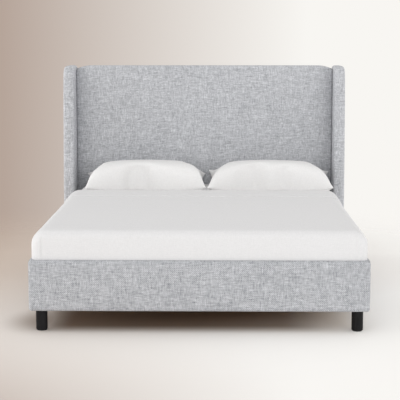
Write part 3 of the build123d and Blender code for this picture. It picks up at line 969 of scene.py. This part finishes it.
@dataclass
class SideRail:
    """One padded side rail, its cloth turned over the inner face in a hem."""

    side: str
    edge: float = 0.009
    steps: int = 5
    crown: float = 0.002
    flatness: Pair = (20, 3)
    wave: Wave = Wave(0.0005, 0.1, 3.0)
    hem: float = 0.060
    cloth: float = 0.0015
    pitch: Pair = (0.03, 0.02)

    def build(self) -> Piece:
        """Makes the cover.

        Returns:
            The piece.
        """
        low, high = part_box(f"{self.side}_rail_cover")
        way, outer = (1.0, high.x) if self.side == "right" else (-1.0, low.x)
        bm = boxed(low, high)
        round_off(bm, running(bm, Y, X, outer), self.edge, self.steps)
        window_top = high.z - self.hem
        cut_across(bm, Y, spaced(low.y, high.y, self.pitch[0]))
        cut_across(bm, Z, spaced(low.z, high.z, self.pitch[1]) + [window_top])
        drop_faces(bm, lambda f: abs(f.normal.y) > FACING)
        drop_faces(bm, lambda f: f.normal.x * way < -FACING and middle(f).z < window_top)

        def swell(place: Vector, normal: Vector) -> float:
            """How far the padding stands out."""
            if normal.x * way <= -HALFWAY:
                return 0.0
            _, y, z = box_shares(place, low, high)
            out = self.crown * dome(z, self.flatness[1]) * max(0.0, normal.x * way)
            return (out + self.wave.at(place)) * dome(y, self.flatness[0])

        puff(bm, swell)
        return upholster(bm, f"{self.side}_rail", UPHOLSTERY, self.cloth)


@dataclass
class Headboard:
    """The padded panel between the wings, its top falling in an arc at each end."""

    padding_bottom: float = 0.340
    side_run: float = 0.062
    side_depth: float = 0.018
    side_cuts: tuple[float, ...] = (0.003, 0.008, 0.015, 0.023, 0.033, 0.045, 0.060, 0.08)
    top_run: float = 0.014
    top_depth: float = 0.016
    top_cuts: tuple[float, ...] = (0.002, 0.005, 0.009, 0.014, 0.020, 0.026, 0.034, 0.05)
    corner_run: float = 0.090
    corner_drop: float = 0.022
    arc_foot: float = 0.95
    seam_drop: float = 0.006
    seam_depth: float = 0.004
    seam_width: float = 0.003
    crown: float = 0.004
    wave: Wave = Wave(0.0007, 0.16, 5.0)
    cloth: float = 0.0015
    pitch: float = 0.035

    def build(self) -> Piece:
        """Makes the cover.

        Returns:
            The piece.
        """
        low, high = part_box("headboard_cover")
        step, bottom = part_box("headboard_face_board")[0].y - self.cloth, self.padding_bottom
        bm = outlined(low.x, [
            (high.y, low.z), (step, low.z), (step, bottom), (low.y, bottom), (low.y, high.z),
            (high.y, high.z),
        ])
        sweep(bm, high.x - low.x)
        side, top = self.side_cuts, self.top_cuts
        cut_across(bm, X, [low.x + d for d in side] + [high.x - d for d in side])
        cut_across(bm, X, spaced(low.x + side[-1], high.x - side[-1], self.pitch))
        cut_across(bm, Z, [bottom + d for d in top] + [high.z - d for d in top])
        cut_across(bm, Z, spaced(bottom + top[-1], high.z - top[-1], self.pitch))
        cut_across(bm, Y, [low.y + self.top_depth + top[0], low.y + top[-1]])
        drop_faces(bm, lambda f: f.normal.y > FACING)
        drop_faces(bm, lambda f: f.normal.z < -FACING and middle(f).z < low.z + HAIR)
        for vertex in bm.verts:
            place = vertex.co
            drop = self.fall(place.x, high.x)
            if near(place.y, low.y):
                side_share = max(0.0, 1.0 - (high.x - abs(place.x)) / self.side_run)
                rise = min(high.z - place.z, place.z - bottom)
                top_share = max(0.0, 1.0 - rise / self.top_run)
                turned = min(1.0, math.hypot(side_share, top_share))
                depth = self.side_depth if side_share > top_share else self.top_depth
                up = (2 * place.z - high.z - bottom) / (high.z - bottom)
                from_seam = (high.z - place.z - self.seam_drop) / self.seam_width
                across = dome(place.x / high.x) * dome(up)
                place.y += depth * (1 - math.sqrt(1 - turned**2))
                place.y -= self.crown * across
                place.y += self.seam_depth * math.exp(-(from_seam**2))
                place.y += self.wave.at(Vector(place)) * (1 - turned)
            place.z -= drop * ease(place.z, self.arc_foot, high.z)
        # The cover takes the paler copy of the cloth, painted light.
        return upholster(bm, "headboard", HEAD_UPHOLSTERY_PAINTED_LIGHT, self.cloth)

    def fall(self, x: float, half: float) -> float:
        """How far the top's arc has dropped at a place across the headboard.

        Args:
            x: The place.
            half: Half the headboard's width.

        Returns:
            The drop in metres.
        """
        radius = (self.corner_run**2 + self.corner_drop**2) / (2 * self.corner_drop)
        beyond = max(0.0, abs(x) - (half - self.corner_run))
        return radius - math.sqrt(radius**2 - beyond**2)


@dataclass
class Wing:
    """One padded wing beside the headboard, leaning back above the mattress."""

    side: str
    knee: float = 0.470
    knee_radius: float = 0.300
    corner_radius: float = 0.062
    rim_radius: float = 0.019
    lean: float = 0.065
    crown: float = 0.003
    # The inner face swells by a share, up to the headboard's seam.
    inner_share: float = 0.7
    inner_end: Pair = (0.93, 0.99)
    flatness: Pair = (4, 8)
    wave: Wave = Wave(0.0006, 0.12, 7.0)
    pitch: float = 0.03

    def build(self) -> Piece:
        """Makes the wing.

        Returns:
            The piece.
        """
        low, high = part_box(f"{self.side}_wing_cover")
        way, inner, outer = 1.0, low.x, high.x
        if self.side == "left":
            way, inner, outer = -1.0, high.x, low.x
        bm = outlined(inner, [
            (high.y, low.z), (low.y, low.z), (low.y, self.knee), (low.y + self.lean, high.z),
            (high.y, high.z),
        ])
        knee, top = bm.verts[:][2:4]
        for corner, radius, steps in ((knee, self.knee_radius, 6), (top, self.corner_radius, 8)):
            reach = radius * math.tan(self.turn_at(corner) / 2)
            round_off(bm, [corner], reach, steps, "VERTICES")
        sweep(bm, outer - inner)
        rims = [
            e for e in bm.edges
            if near(e.verts[0].co.x, e.verts[1].co.x)
            and not lies_at(e, Y, high.y) and not lies_at(e, Z, low.z)
        ]
        round_off(bm, rims, self.rim_radius, 8)
        cut_across(bm, Z, spaced(low.z, high.z, self.pitch))
        cut_across(bm, Y, spaced(low.y + self.pitch, high.y, self.pitch))
        wave = replace(self.wave, seed=self.wave.seed + way)

        def swell(place: Vector, normal: Vector) -> float:
            """How far the padding stands out."""
            if place.y > high.y - HAIR or place.z < low.z + HAIR:
                return 0.0
            _, y, z = box_shares(place, low, high)
            rise, outward = dome(z, self.flatness[1]), normal.x * way
            out = self.crown * rise * dome(y, self.flatness[0]) * max(0.0, outward)
            if outward < 0:
                out = -outward * self.crown * rise * (1 - ease(place.y, *self.inner_end))
                out *= self.inner_share
            return out + wave.at(place)

        puff(bm, swell)
        # The wing takes the paler copy of the cloth, painted light.
        return upholster(bm, f"{self.side}_wing", HEAD_UPHOLSTERY_PAINTED_LIGHT)

    @staticmethod
    def turn_at(corner: bmesh.types.BMVert) -> float:
        """The angle by which an outline turns at one of its corners, in radians."""
        first, second = (e.other_vert(corner).co - corner.co for e in corner.link_edges)
        return math.pi - first.angle(second)


# ---- Bedding ----


@dataclass
class Mattress:
    """The mattress in its ticking, rounded at its corners and rims; the taped edge round each face
    is not modelled.
    """

    corner: float = 0.090
    rims: Pair = (0.028, 0.070)
    clear: float = 0.001
    wave: Wave = Wave(0.0012, 0.08, 2.0)
    drawn: float = 0.0008
    pitch: float = 0.05

    def build(self) -> Piece:
        """Makes the mattress.

        Returns:
            The piece.
        """
        low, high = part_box("mattress")
        clear = Vector((self.clear, self.clear, 0.0))
        block = low + clear, high - clear - Vector((0, 0, self.clear))
        bm = rounded_block(*block, self.corner, self.rims)
        cut_across(bm, X, spaced(low.x, high.x, self.pitch))
        cut_across(bm, Y, spaced(low.y, high.y, self.pitch))
        puff(bm, lambda place, normal: self.wave.at(place) * (abs(normal.z) > FACING) - self.drawn)
        piece = finish_piece(bm, "mattress_body", TICKING, "mattress_set", stands_for=("mattress",))
        return piece


@dataclass
class FittedSheet:
    """The fitted sheet drawn tight over the mattress and gathered under its edge."""

    corner: float = 0.0915
    rims: Pair = (0.030, 0.0715)
    gather: float = 0.0009
    gathers_turn: float = 260
    gather_rise: float = 0.07
    slack: float = 0.0006
    slack_size: float = 0.2
    slack_seed: float = 11.0
    top_margin: float = 0.01
    cloth: float = 0.0012
    pitch: Pair = (0.04, 0.03)

    def build(self) -> Piece:
        """Makes the sheet.

        Returns:
            The piece.
        """
        low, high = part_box("fitted_sheet")
        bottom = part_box("mattress")[0].z
        bm = rounded_block((low.x, low.y, bottom), high, self.corner, self.rims)
        drop_faces(bm, lambda f: f.normal.z < -SQUARE)
        flat, upright = self.pitch
        cut_across(bm, X, spaced(low.x, high.x, flat))
        cut_across(bm, Y, spaced(low.y, high.y, flat))
        cut_across(bm, Z, spaced(bottom + upright, high.z - upright, upright))

        def pucker(place: Vector, normal: Vector) -> float:
            """Small gathers towards the elastic, and slight waves above."""
            low_down = 1 - ease(place.z, bottom, bottom + self.gather_rise)
            gathers = self.gather * low_down * math.sin((place.x + place.y) * self.gathers_turn)
            waves = self.slack * (1 + ripple(place, self.slack_size, self.slack_seed))
            return gathers + waves * (place.z < high.z - self.top_margin)

        puff(bm, pucker)
        piece = finish_piece(
            bm, "fitted_sheet_cloth", COTTON, "mattress_set", stands_for=("fitted_sheet",)
        )
        thicken(piece, self.cloth)
        return piece


@dataclass
class Coverlet:
    """The soft coverlet, drawn smooth over the foot and both sides down to the frame."""

    shoulder: float = 0.070
    foot_edge: float = 0.040
    loft: float = 0.012
    fold_in: float = 0.050
    fold_width: float = 0.003
    fold_depth: float = 0.0022
    fold_roll: float = 0.0016
    fold_cuts: int = 4
    roll_reach: float = 2.5
    fold_top: Pair = (0.045, 0.015)
    left_strength: float = 1.0
    right_strength: float = 0.5
    waves: tuple[Wave, Wave] = (Wave(0.0014, 0.34, 17.0), Wave(0.0006, 0.11, 19.0))
    head_gap: float = 0.004
    hem_radius: float = 0.004
    pitch: Pair = (0.035, 0.015)

    def build(self) -> Piece:
        """Makes the coverlet.

        Returns:
            The piece.
        """
        low, high = self.inner_box()
        bm = draped_block(low, high, self.shoulder, low.y, self.foot_edge, 8)
        drop_faces(bm, lambda f: f.normal.z < -SQUARE or f.normal.y > SQUARE)
        fold = high.x - self.fold_in
        steps = range(-self.fold_cuts, self.fold_cuts + 1)
        near_fold = [way * (fold + d * self.fold_width) for way in (-1, 1) for d in steps]
        cut_across(bm, X, spaced(low.x, high.x, self.pitch[0]) + near_fold)
        cut_across(bm, Y, spaced(low.y, high.y, self.pitch[0]))
        cut_across(bm, Z, spaced(low.z, high.z, self.pitch[1]))

        def settle(place: Vector, normal: Vector) -> float:
            """Broad soft waves, and the mitred fold at each corner of the foot."""
            out = sum(wave.at(place) for wave in self.waves)
            if normal.y < -HALFWAY:
                strength = self.left_strength if place.x < 0 else self.right_strength
                beside = (abs(place.x) - fold) / self.fold_width
                reach = 1 - ease(place.z, *(high.z - d for d in self.fold_top))
                out -= self.fold_depth * strength * math.exp(-beside**2) * reach
                out += self.fold_roll * strength * reach * ease(beside, 0.0, self.roll_reach)
            return out

        puff(bm, settle)
        piece = finish_piece(bm, "coverlet_cloth", COTTON, "mattress_set", stands_for=("coverlet",))
        thicken(piece, self.loft)
        rounded = piece.modifiers.new("hem", "BEVEL")
        rounded.width, rounded.segments = self.hem_radius, 3
        rounded.limit_method, rounded.angle_limit = "ANGLE", math.radians(60)
        return piece

    def inner_box(self) -> tuple[Vector, Vector]:
        """The coverlet's own box, under the turned-back cuff.

        Returns:
            Its lowest and highest corners.
        """
        low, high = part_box("coverlet")
        cuff = Vector((Cuff.loft, 0.0, Cuff.loft))
        return low + Vector((Cuff.loft, 0, 0)), high - cuff - Vector((0, self.head_gap, 0))


@dataclass
class Cuff:
    """The head end of the top sheet, folded back over the coverlet."""

    loft: float = 0.006
    width: float = 0.262
    shoulder: float = 0.076
    roll: float = 0.009
    cloth: float = 0.0022
    lip: float = 0.014
    end_margin: float = 0.012
    hem: float = 0.045
    stitch_depth: float = 0.0009
    stitch_width: float = 0.002
    laid: float = 0.0045
    wave: Wave = Wave(0.0012, 0.22, 23.0)
    pitch: Pair = (0.035, 0.02)

    def build(self) -> Piece:
        """Makes the cuff.

        Returns:
            The piece.
        """
        low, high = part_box("coverlet")
        foot = high.y - self.width
        bm = draped_block(Vector((low.x, foot, low.z)), high, self.shoulder, high.y, self.roll, 4)
        drop_faces(bm, lambda f: f.normal.z < -SQUARE or f.normal.y < -SQUARE)
        bm.normal_update()
        ends = [f for f in bm.faces if f.normal.y > SQUARE]
        bmesh.ops.inset_region(bm, faces=ends, thickness=self.lip, use_even_offset=True)
        bmesh.ops.delete(bm, geom=ends, context="FACES")
        seam, (wide, narrow) = foot + self.hem, self.pitch
        by_seam = [seam + d * self.stitch_width for d in (-1, 0, 1)]
        cut_across(bm, X, spaced(low.x, high.x, wide))
        cut_across(bm, Y, spaced(foot, high.y - self.end_margin, narrow) + by_seam)
        cut_across(bm, Z, spaced(low.z, high.z, narrow))

        def settle(place: Vector, normal: Vector) -> float:
            """Slight waves and the stitched line of the hem."""
            stitch = self.stitch_depth * math.exp(-(((place.y - seam) / self.stitch_width) ** 2))
            laid = self.laid * (1 - ease(place.y, foot, foot + self.hem))
            return self.wave.at(place) - stitch - laid

        puff(bm, settle)
        piece = finish_piece(bm, "cuff_cloth", COTTON, "mattress_set")
        thicken(piece, self.cloth)
        return piece


@dataclass
class Pillow:
    """One pillow in its case, blown up from two flat sheets sewn together at the rim."""

    side: str
    seed: float
    # The flat case: how much larger it is than its place, the pitch of its mesh, half its
    # thickness, and its first lift.
    spare: float = 0.035
    pitch: float = 0.013
    wall: float = 0.002
    start_lift: float = 0.03
    start_wave: float = 0.25
    start_size: float = 0.09
    # The blowing up, then the rounds of smoothing and the sharpest fold, in radians, they reach.
    pressure: float = 3.4
    frames: int = 24
    calm: int = 8
    crease: float = 1.2
    # How even the filling is, and where its ridge runs from the front seam, -1, to the back, 1.
    fullness: float = 0.60
    filling: float = 0.80
    ridge: float = -0.10
    ridge_end: float = -0.50
    bend: float = 2.5
    # The power and root by which the filling falls off from the ridge. At the back the power is
    # less at the ends.
    front: Pair = (3, 0.5)
    back: tuple[float, float, float] = (2.4, 1.3, 0.6)
    proud: float = 0.009
    belly: float = 1.6
    # The height of the seam: what it has everywhere and what it gains towards the ends, its tilt,
    # and the ears that stand up at the back corners.
    seam: float = 0.032
    seam_shares: Pair = (0.55, 0.45)
    seam_run: Pair = (0.55, 0.95)
    tilt: float = 0.002
    ear: float = 0.034
    ear_run: Pair = (0.6, 1.0)
    ear_power: int = 4
    # How much wider the case is at its front and its back, and how its crown draws in.
    flare: Pair = (0.040, 0.135)
    inner_flare: Pair = (0.012, 0.012)
    draw_in: Pair = (0.06, 0.06)
    # The power and root by which each end falls off.
    left_end: Pair = (5.0, 0.55)
    right_end: Pair = (12.0, 0.42)
    lying: float = 0.0004

    def build(self) -> Piece:
        """Makes the pillow.

        Returns:
            The piece.
        """
        low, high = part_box(f"{self.side}_pillow")
        width, depth = (high - low).x + self.spare, (high - low).y + self.spare
        corner = Vector((width / 2, depth / 2, self.wall))
        bm = boxed(-corner, corner)
        cut_across(bm, X, spaced(-width / 2, width / 2, self.pitch))
        cut_across(bm, Y, spaced(-depth / 2, depth / 2, self.pitch))
        for vertex in bm.verts:
            u, w = 2 * vertex.co.x / width, 2 * vertex.co.y / depth
            lift = self.start_lift * math.sqrt(dome(u) * dome(w))
            lift *= 1 + self.start_wave * ripple(vertex.co, self.start_size, self.seed)
            vertex.co.z += math.copysign(lift, vertex.co.z)
        # The case takes the paler copy of the cotton, painted light.
        piece = finish_piece(
            bm, f"{self.side}_pillow_case", PILLOW_COTTON_PAINTED_LIGHT, f"pillow_{self.side}",
            stands_for=(f"{self.side}_pillow",),
        )
        flat = [(2 * v.co.x / width, 2 * v.co.y / depth) for v in piece.data.vertices]
        self.inflate(piece)
        self.lay_down(piece, flat, low, high)
        map_cloth(piece.data)
        smooth = piece.modifiers.new("soft", "SUBSURF")
        smooth.levels = smooth.render_levels = 1
        return piece

    def inflate(self, piece: Piece) -> None:
        """Blows the case up as cloth and keeps the shape.

        Args:
            piece: The flat case, whose mesh takes the new shape.
        """
        scene = bpy.context.scene
        cloth = piece.modifiers.new("cloth", "CLOTH")
        for name, value in (
            ("quality", 6), ("mass", 0.25), ("tension_stiffness", 18),
            ("compression_stiffness", 18), ("shear_stiffness", 8), ("bending_stiffness", 0.6),
            ("use_pressure", True), ("uniform_pressure_force", self.pressure),
        ):
            setattr(cloth.settings, name, value)
        cloth.settings.effector_weights.gravity = 0.0
        cloth.collision_settings.use_collision = False
        cloth.point_cache.frame_start, cloth.point_cache.frame_end = 1, self.frames
        for number in range(1, self.frames + 1):
            scene.frame_set(number)
        seen = piece.evaluated_get(bpy.context.evaluated_depsgraph_get()).to_mesh()
        places = [v.co.copy() for v in seen.vertices]
        piece.modifiers.remove(cloth)
        for vertex, place in zip(piece.data.vertices, places):
            vertex.co = place
        bm = bmesh.new()
        bm.from_mesh(piece.data)
        inside = [
            v for v in bm.verts if all(e.calc_face_angle(0.0) < self.crease for e in v.link_edges)
        ]
        for _ in range(self.calm):
            bmesh.ops.smooth_vert(
                bm, verts=inside, factor=0.5, use_axis_x=True, use_axis_y=True, use_axis_z=True
            )
        bm.to_mesh(piece.data)
        bm.free()
        scene.frame_set(1)

    def lay_down(self, piece: Piece, flat: Sequence[Pair], low: Vector, high: Vector) -> None:
        """Fits the blown-up case to its place, flat where it lies, its filling evened out.

        Args:
            piece: The case.
            flat: Each point's place on the flat case, from -1 to 1 both ways.
            low: The lowest corner of its place.
            high: The highest corner.
        """
        points = [v.co for v in piece.data.vertices]
        first, last = (Vector([end(p[k] for p in points) for k in (X, Y, Z)]) for end in (min, max))
        log.info("%s blown up to %s", piece.name, [round(v, 3) for v in last - first])
        outer_way = -1 if self.side == "left" else 1
        for point, (u, w) in zip(points, flat):
            share = Vector([(point[k] - first[k]) / (last[k] - first[k]) for k in (X, Y, Z)])
            end = abs(u)
            seam_share = self.seam_shares[0] + self.seam_shares[1] * ease(end, *self.seam_run)
            ear = self.ear * ease(end, *self.ear_run) * share.y**self.ear_power
            seam = low.z + self.seam * seam_share
            seam += self.tilt * share.y + ear
            top = high.z + self.proud - seam
            body = self.end_share(u) * self.profile(w, end**self.bend)
            up = 2 * share.z - 1
            full = (1 - self.filling) * abs(up) ** self.fullness + self.filling * body
            rise = full * top if up >= 0 else -full * (seam - low.z) * self.belly
            front, back = self.flare if (share.x - 0.5) * outer_way > 0 else self.inner_flare
            drawn = self.draw_in[0 if u < 0 else 1]
            spread = (1 + front + (back - front) * share.y) * (1 - drawn * max(0.0, rise) / top)
            point.x = (low.x + high.x) / 2 + (share.x - 0.5) * (high.x - low.x) * spread
            point.y = low.y + share.y * (high.y - low.y)
            point.z = max(low.z + self.lying, seam + rise)

    def end_share(self, u: float) -> float:
        """How full the pillow is at a place from its left end, -1, to its right, 1."""
        power, root = self.left_end if u < 0 else self.right_end
        return dome(u, power) ** root

    def profile(self, w: float, end: float) -> float:
        """How full the pillow is from its front seam to its back seam.

        Args:
            w: The place, -1 at the front seam and 1 at the back.
            end: 0 in the middle of the pillow, rising to 1 at its ends.

        Returns:
            The share of the full height.
        """
        ridge = self.ridge + (self.ridge_end - self.ridge) * end
        if w < ridge:
            power, root = self.front
            return dome((w - ridge) / (1 + ridge), power) ** root
        power, less, root = self.back
        return dome((w - ridge) / (1 - ridge), power - less * end) ** root


# ---- Back of the headboard ----


@dataclass
class BackCloth:
    """The plain cloth that closes the back of the headboard, held by staples."""

    inset: float = 0.004
    hem: float = 0.012
    cloth: float = 0.0011
    pressed: float = 0.0005
    press_run: float = 0.03
    wave: Wave = Wave(0.0012, 0.2, 29.0)
    wave_run: Pair = (0.02, 0.1)
    pitch: float = 0.04
    staple_pitch: float = 0.050
    staple_length: float = 0.011
    staple_wire: float = 0.0009
    staple_proud: float = 0.3

    def build(self) -> Piece:
        """Makes the cloth and its staples.

        Returns:
            The cloth.
        """
        low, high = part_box("headboard_back_cloth")
        cover, half = Headboard(), high.x - self.inset
        bm = boxed((-half, low.y, low.z + self.inset), (half, high.y, high.z - self.inset))
        drop_faces(bm, lambda f: f.normal.y < FACING)
        side_hems = [way * (half - self.hem) for way in (-1, 1)]
        cut_across(bm, X, spaced(-half, half, self.pitch) + side_hems)
        cut_across(bm, Z, spaced(low.z, high.z, self.pitch) + [low.z + self.hem, high.z - self.hem])
        for vertex in bm.verts:
            place = vertex.co
            from_ends = place.z - low.z - self.inset, high.z - self.inset - place.z
            edge = min(half - abs(place.x), *from_ends)
            press = self.pressed * ease(edge, self.hem, self.hem + self.press_run)
            place.y = high.y + self.cloth - press
            place.y += abs(self.wave.at(place)) * ease(edge, *self.wave_run)
            place.z -= cover.fall(place.x, high.x) * ease(place.z, cover.arc_foot, high.z)
        piece = finish_piece(
            bm, "back_lining", LINING, "frame",
            stands_for=("headboard_back_cloth",),
        )
        thicken(piece, self.cloth)
        self.staples(low, high, cover)
        return piece

    def staples(self, low: Vector, high: Vector, cover: Headboard) -> None:
        """Drives a row of staples round the lining's hem.

        Args:
            low: The lowest corner of the cloth.
            high: The highest corner.
            cover: The headboard, whose top the row follows.
        """
        bm = bmesh.new()
        wire, length, in_hem = self.staple_wire, self.staple_length, self.inset + self.hem / 2
        reach, bottom, top = high.x - in_hem, low.z + in_hem, high.z - in_hem
        out = high.y + self.cloth + wire * self.staple_proud
        lying, upright = (length, wire, wire), (wire, wire, length)
        places = []
        for x in spaced(-reach, reach, self.staple_pitch):
            places += [(x, top - cover.fall(x, high.x), lying), (x, bottom, lying)]
        for z in spaced(bottom, high.z - self.staple_pitch, self.staple_pitch):
            places += [(-reach, z, upright), (reach, z, upright)]
        for x, z, size in places:
            made = bmesh.ops.create_cube(bm, size=1.0)["verts"]
            bmesh.ops.scale(bm, vec=size, verts=made)
            bmesh.ops.translate(bm, vec=(x, out, z), verts=made)
        finish_piece(bm, "lining_staples", ZINC, "frame")


# ---- Studio ----


@dataclass
class Studio:
    """The floor, the lamps, the world and the camera."""

    eye: Place = (0.087, -6.7235, 1.358)
    pitch: float = 7.44
    turn: float = 0.84
    lens: float = 112.05
    # The floor's colours: a warm tone painted with shade on the left and light on the right, then
    # the painted shadow colour for under the bed.
    floor_left_painted_shade: Colour = painted(206, 187, 171)
    floor_right_painted_light: Colour = painted(255, 253, 250)
    floor_painted_shadow: Colour = painted(150, 132, 118)
    # The wall's colours: painted shade on the left and painted light on the right.
    wall_left_painted_shade: Colour = painted(182, 165, 154)
    wall_right_painted_light: Colour = painted(248, 246, 242)
    # Where the wall passes from its left colour to its right, painted shade to painted light, and
    # where the floor fades into it.
    drift: Pair = (-0.17, 0.07)
    fade: Pair = (0.8, 3.4)
    # The light from low and from high, and from the strips at the far left and right.
    glow: Pair = (0.97, 0.83)
    side_glow: Pair = (2.0, 0.7)
    strip: Pair = (0.80, 0.97)
    strip_top: Pair = (0.6, 0.3)
    glow_run: Pair = (0.1, 0.75)
    # The floor's tones, the painted light that brightens it towards the front, and the painted
    # shadow that darkens the floor under the bed and beside the left leg.
    floor_radius: float = 40.0
    floor_half: float = 1.6
    fade_middle: Place = (-0.3, 0.0, 0.0)
    mottle: float = 0.03
    mottle_run: Pair = (0.2, 0.8)
    front_light: float = 0.40
    front_run: Pair = (0.8, -1.3)
    painted_shadow_left: Pair = (-0.80, -0.60)
    painted_shadow_right: Pair = (0.72, 0.38)
    painted_shadow_ends: Pair = (1.10, 0.92)
    painted_leg_shadow: Place = (-0.78, -0.84, 0.0)
    painted_leg_shadow_squeeze: Place = (1.0, 0.6, 1.0)
    painted_leg_shadow_reach: float = 0.20
    painted_leg_shadow_depth: float = 0.65
    lamp_size: Pair = (5.4, 4.5)
    lamps: tuple[tuple[str, Place, float], ...] = (
        ("key", (-8.4, -12.9, 3.4), 235.0), ("fill", (7.8, -12.9, 3.4), 250.0),
    )
    lamp_aim: Place = (0.0, 0.0, 0.5)

    def build(self) -> None:
        """Sets the stage and the camera."""
        self.lay_floor()
        self.hang_lamps()
        self.light_world()
        self.set_camera()

    def lay_floor(self) -> None:
        """A wide pale floor that fades into the backdrop far away, its colour painted with shade on
        the left, light on the right and at the front, and shadow under the bed and beside the left
        leg.
        """
        bm = bmesh.new()
        bmesh.ops.create_circle(bm, cap_ends=True, segments=96, radius=self.floor_radius)
        mesh = bpy.data.meshes.new("studio_floor")
        bm.to_mesh(mesh)
        bm.free()
        material, bench, shader = new_material("studio_floor")
        place = own_place(bench)
        x, y, _ = bench.split(place)
        patches = bench.noise(place, scale=0.6)
        mottle = bench.reach(patches, *self.mottle_run, -self.mottle, self.mottle)
        # Painted light: the floor passes from its shaded left colour to its lit right one, and
        # nearer the front it is pushed towards the lit one; the mottle is random tone.
        side = bench.reach(x, -self.floor_half, self.floor_half, smooth=False)
        front = bench.reach(y, *self.front_run, 0.0, self.front_light)
        side = bench.total((side, 1), (mottle, 1), (front, 1))
        # Painted shadow: masks over the bed's footprint and beside the left leg, where the floor's
        # colour is darkened.
        across = bench.times(bench.reach(x, *self.painted_shadow_left), bench.reach(x, *self.painted_shadow_right))
        under = bench.times(across, bench.reach(bench.maths("ABSOLUTE", y), *self.painted_shadow_ends))
        off = bench.vectors("SUBTRACT", place, self.painted_leg_shadow)
        off = bench.vectors("LENGTH", bench.vectors("MULTIPLY", off, self.painted_leg_shadow_squeeze))
        beside = bench.reach(off, self.painted_leg_shadow_reach, 0.0, 0.0, self.painted_leg_shadow_depth)
        far = bench.vectors("LENGTH", bench.vectors("SUBTRACT", place, self.fade_middle))
        floor_with_painted_light = bench.mix(side, self.floor_left_painted_shade, self.floor_right_painted_light)
        # Painted shadow: the darker of the two masks sets how far the floor turns to its shadow
        # colour.
        shade = bench.maths("MAXIMUM", under, beside)
        bench.fill(
            shader, Base_Color=bench.mix(shade, floor_with_painted_light, self.floor_painted_shadow), Roughness=0.95,
            Specular_IOR_Level=0.1, Alpha=bench.reach(far, *self.fade, 1.0, 0.0),
        )
        mesh.materials.append(material)
        floor = bpy.data.objects.new("studio_floor", mesh)
        bpy.context.scene.collection.objects.link(floor)

    def hang_lamps(self) -> None:
        """Broad soft lamps from the front left and the front right."""
        for name, place, power in self.lamps:
            light = bpy.data.lights.new(name, "AREA")
            light.shape, light.energy = "RECTANGLE", power
            light.size, light.size_y = self.lamp_size
            lamp = bpy.data.objects.new(name, light)
            lamp.location = place
            aim = Vector(self.lamp_aim) - Vector(place)
            lamp.rotation_euler = aim.to_track_quat("-Z", "Y").to_euler()
            bpy.context.scene.collection.objects.link(lamp)

    def light_world(self) -> None:
        """A pale world, stronger low down and at the far left and right, seen by the camera and in
        reflections as a backdrop painted with shade on the left and light on the right.
        """
        world = bpy.data.worlds.new("studio")
        world.use_nodes = True
        bench = NodeBench(world.node_tree)
        output = bench.add("ShaderNodeOutputWorld")
        aside, _, height = bench.split(bench.add("ShaderNodeTexCoord").outputs["Generated"])
        # Painted light: the backdrop passes from its shaded left colour to its lit right one.
        wall_share = bench.reach(aside, *self.drift, smooth=False)
        wall = bench.mix(wall_share, self.wall_left_painted_shade, self.wall_right_painted_light)
        low, high = self.strip
        left, right = (
            bench.reach(aside, way * low, way * high, 0.0, glow)
            for way, glow in zip((-1, 1), self.side_glow)
        )
        strip = bench.maths("ADD", left, right)
        strip = bench.times(strip, bench.reach(height, *self.strip_top))
        strength = bench.maths("ADD", bench.reach(height, *self.glow_run, *self.glow), strip)
        backdrop = bench.fill(bench.add("ShaderNodeBackground"), Color=wall)
        light = bench.fill(
            bench.add("ShaderNodeBackground"), Color=(1.0, 1.0, 1.0), Strength=strength
        )
        ray = bench.add("ShaderNodeLightPath")
        direct = bench.maths("MAXIMUM", ray.outputs["Is Camera Ray"], ray.outputs["Is Glossy Ray"])
        direct = bench.maths("MAXIMUM", direct, ray.outputs["Is Transmission Ray"])
        mixed = bench.row(
            bench.add("ShaderNodeMixShader"), (direct, light.outputs[0], backdrop.outputs[0])
        )
        bench.fill(output, Surface=mixed.outputs[0])
        bpy.context.scene.world = world

    def set_camera(self) -> None:
        """The camera at the photograph's place."""
        camera = bpy.data.objects.new("camera", bpy.data.cameras.new("camera"))
        camera.data.sensor_width = 36.0
        camera.data.lens = self.lens
        camera.location = self.eye
        camera.rotation_euler = (math.radians(90 - self.pitch), 0.0, math.radians(self.turn))
        bpy.context.scene.collection.objects.link(camera)
        bpy.context.scene.camera = camera
        bpy.context.scene.view_settings.view_transform = "Standard"


def dress_frame() -> int:
    """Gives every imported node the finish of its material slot.

    Returns:
        How many nodes were dressed.
    """
    lengthwise = ("center_beam", "left_slat_cleat", "right_slat_cleat")
    slots = {part["node"]: part["material_slot"] for part in frame["record"]["subparts"]}
    for name, node in frame["nodes"].items():
        finish = PINE_LENGTHWISE if name in lengthwise else SLOT_FINISHES[slots[name]]
        for slot in node.material_slots:
            slot.link = "OBJECT"
            slot.material = finish.material()
    return len(frame["nodes"])


def main() -> None:
    """Dresses the frame, makes the upholstery and the bedding, and sets the studio."""
    logging.basicConfig(level=logging.INFO, format="%(name)s: %(message)s")
    log.info("dressed %d packed nodes", dress_frame())
    sub_assemblies = (
        Footboard(), SideRail("left"), SideRail("right"), Headboard(), Wing("left"), Wing("right"),
        BackCloth(), Mattress(), FittedSheet(), Coverlet(), Cuff(),
        Pillow("left", 1.0, draw_in=(0.02, 0.045)),
        Pillow("right", 2.0, tilt=0.005, ear=0.050, flare=(0.046, 0.088), right_end=(6.5, 0.50)),
    )
    for assembly in sub_assemblies:
        piece = assembly.build()
        log.info("%s: %d faces", piece.name, len(piece.data.polygons))
    Studio().build()


if __name__ == "__main__":
    main()
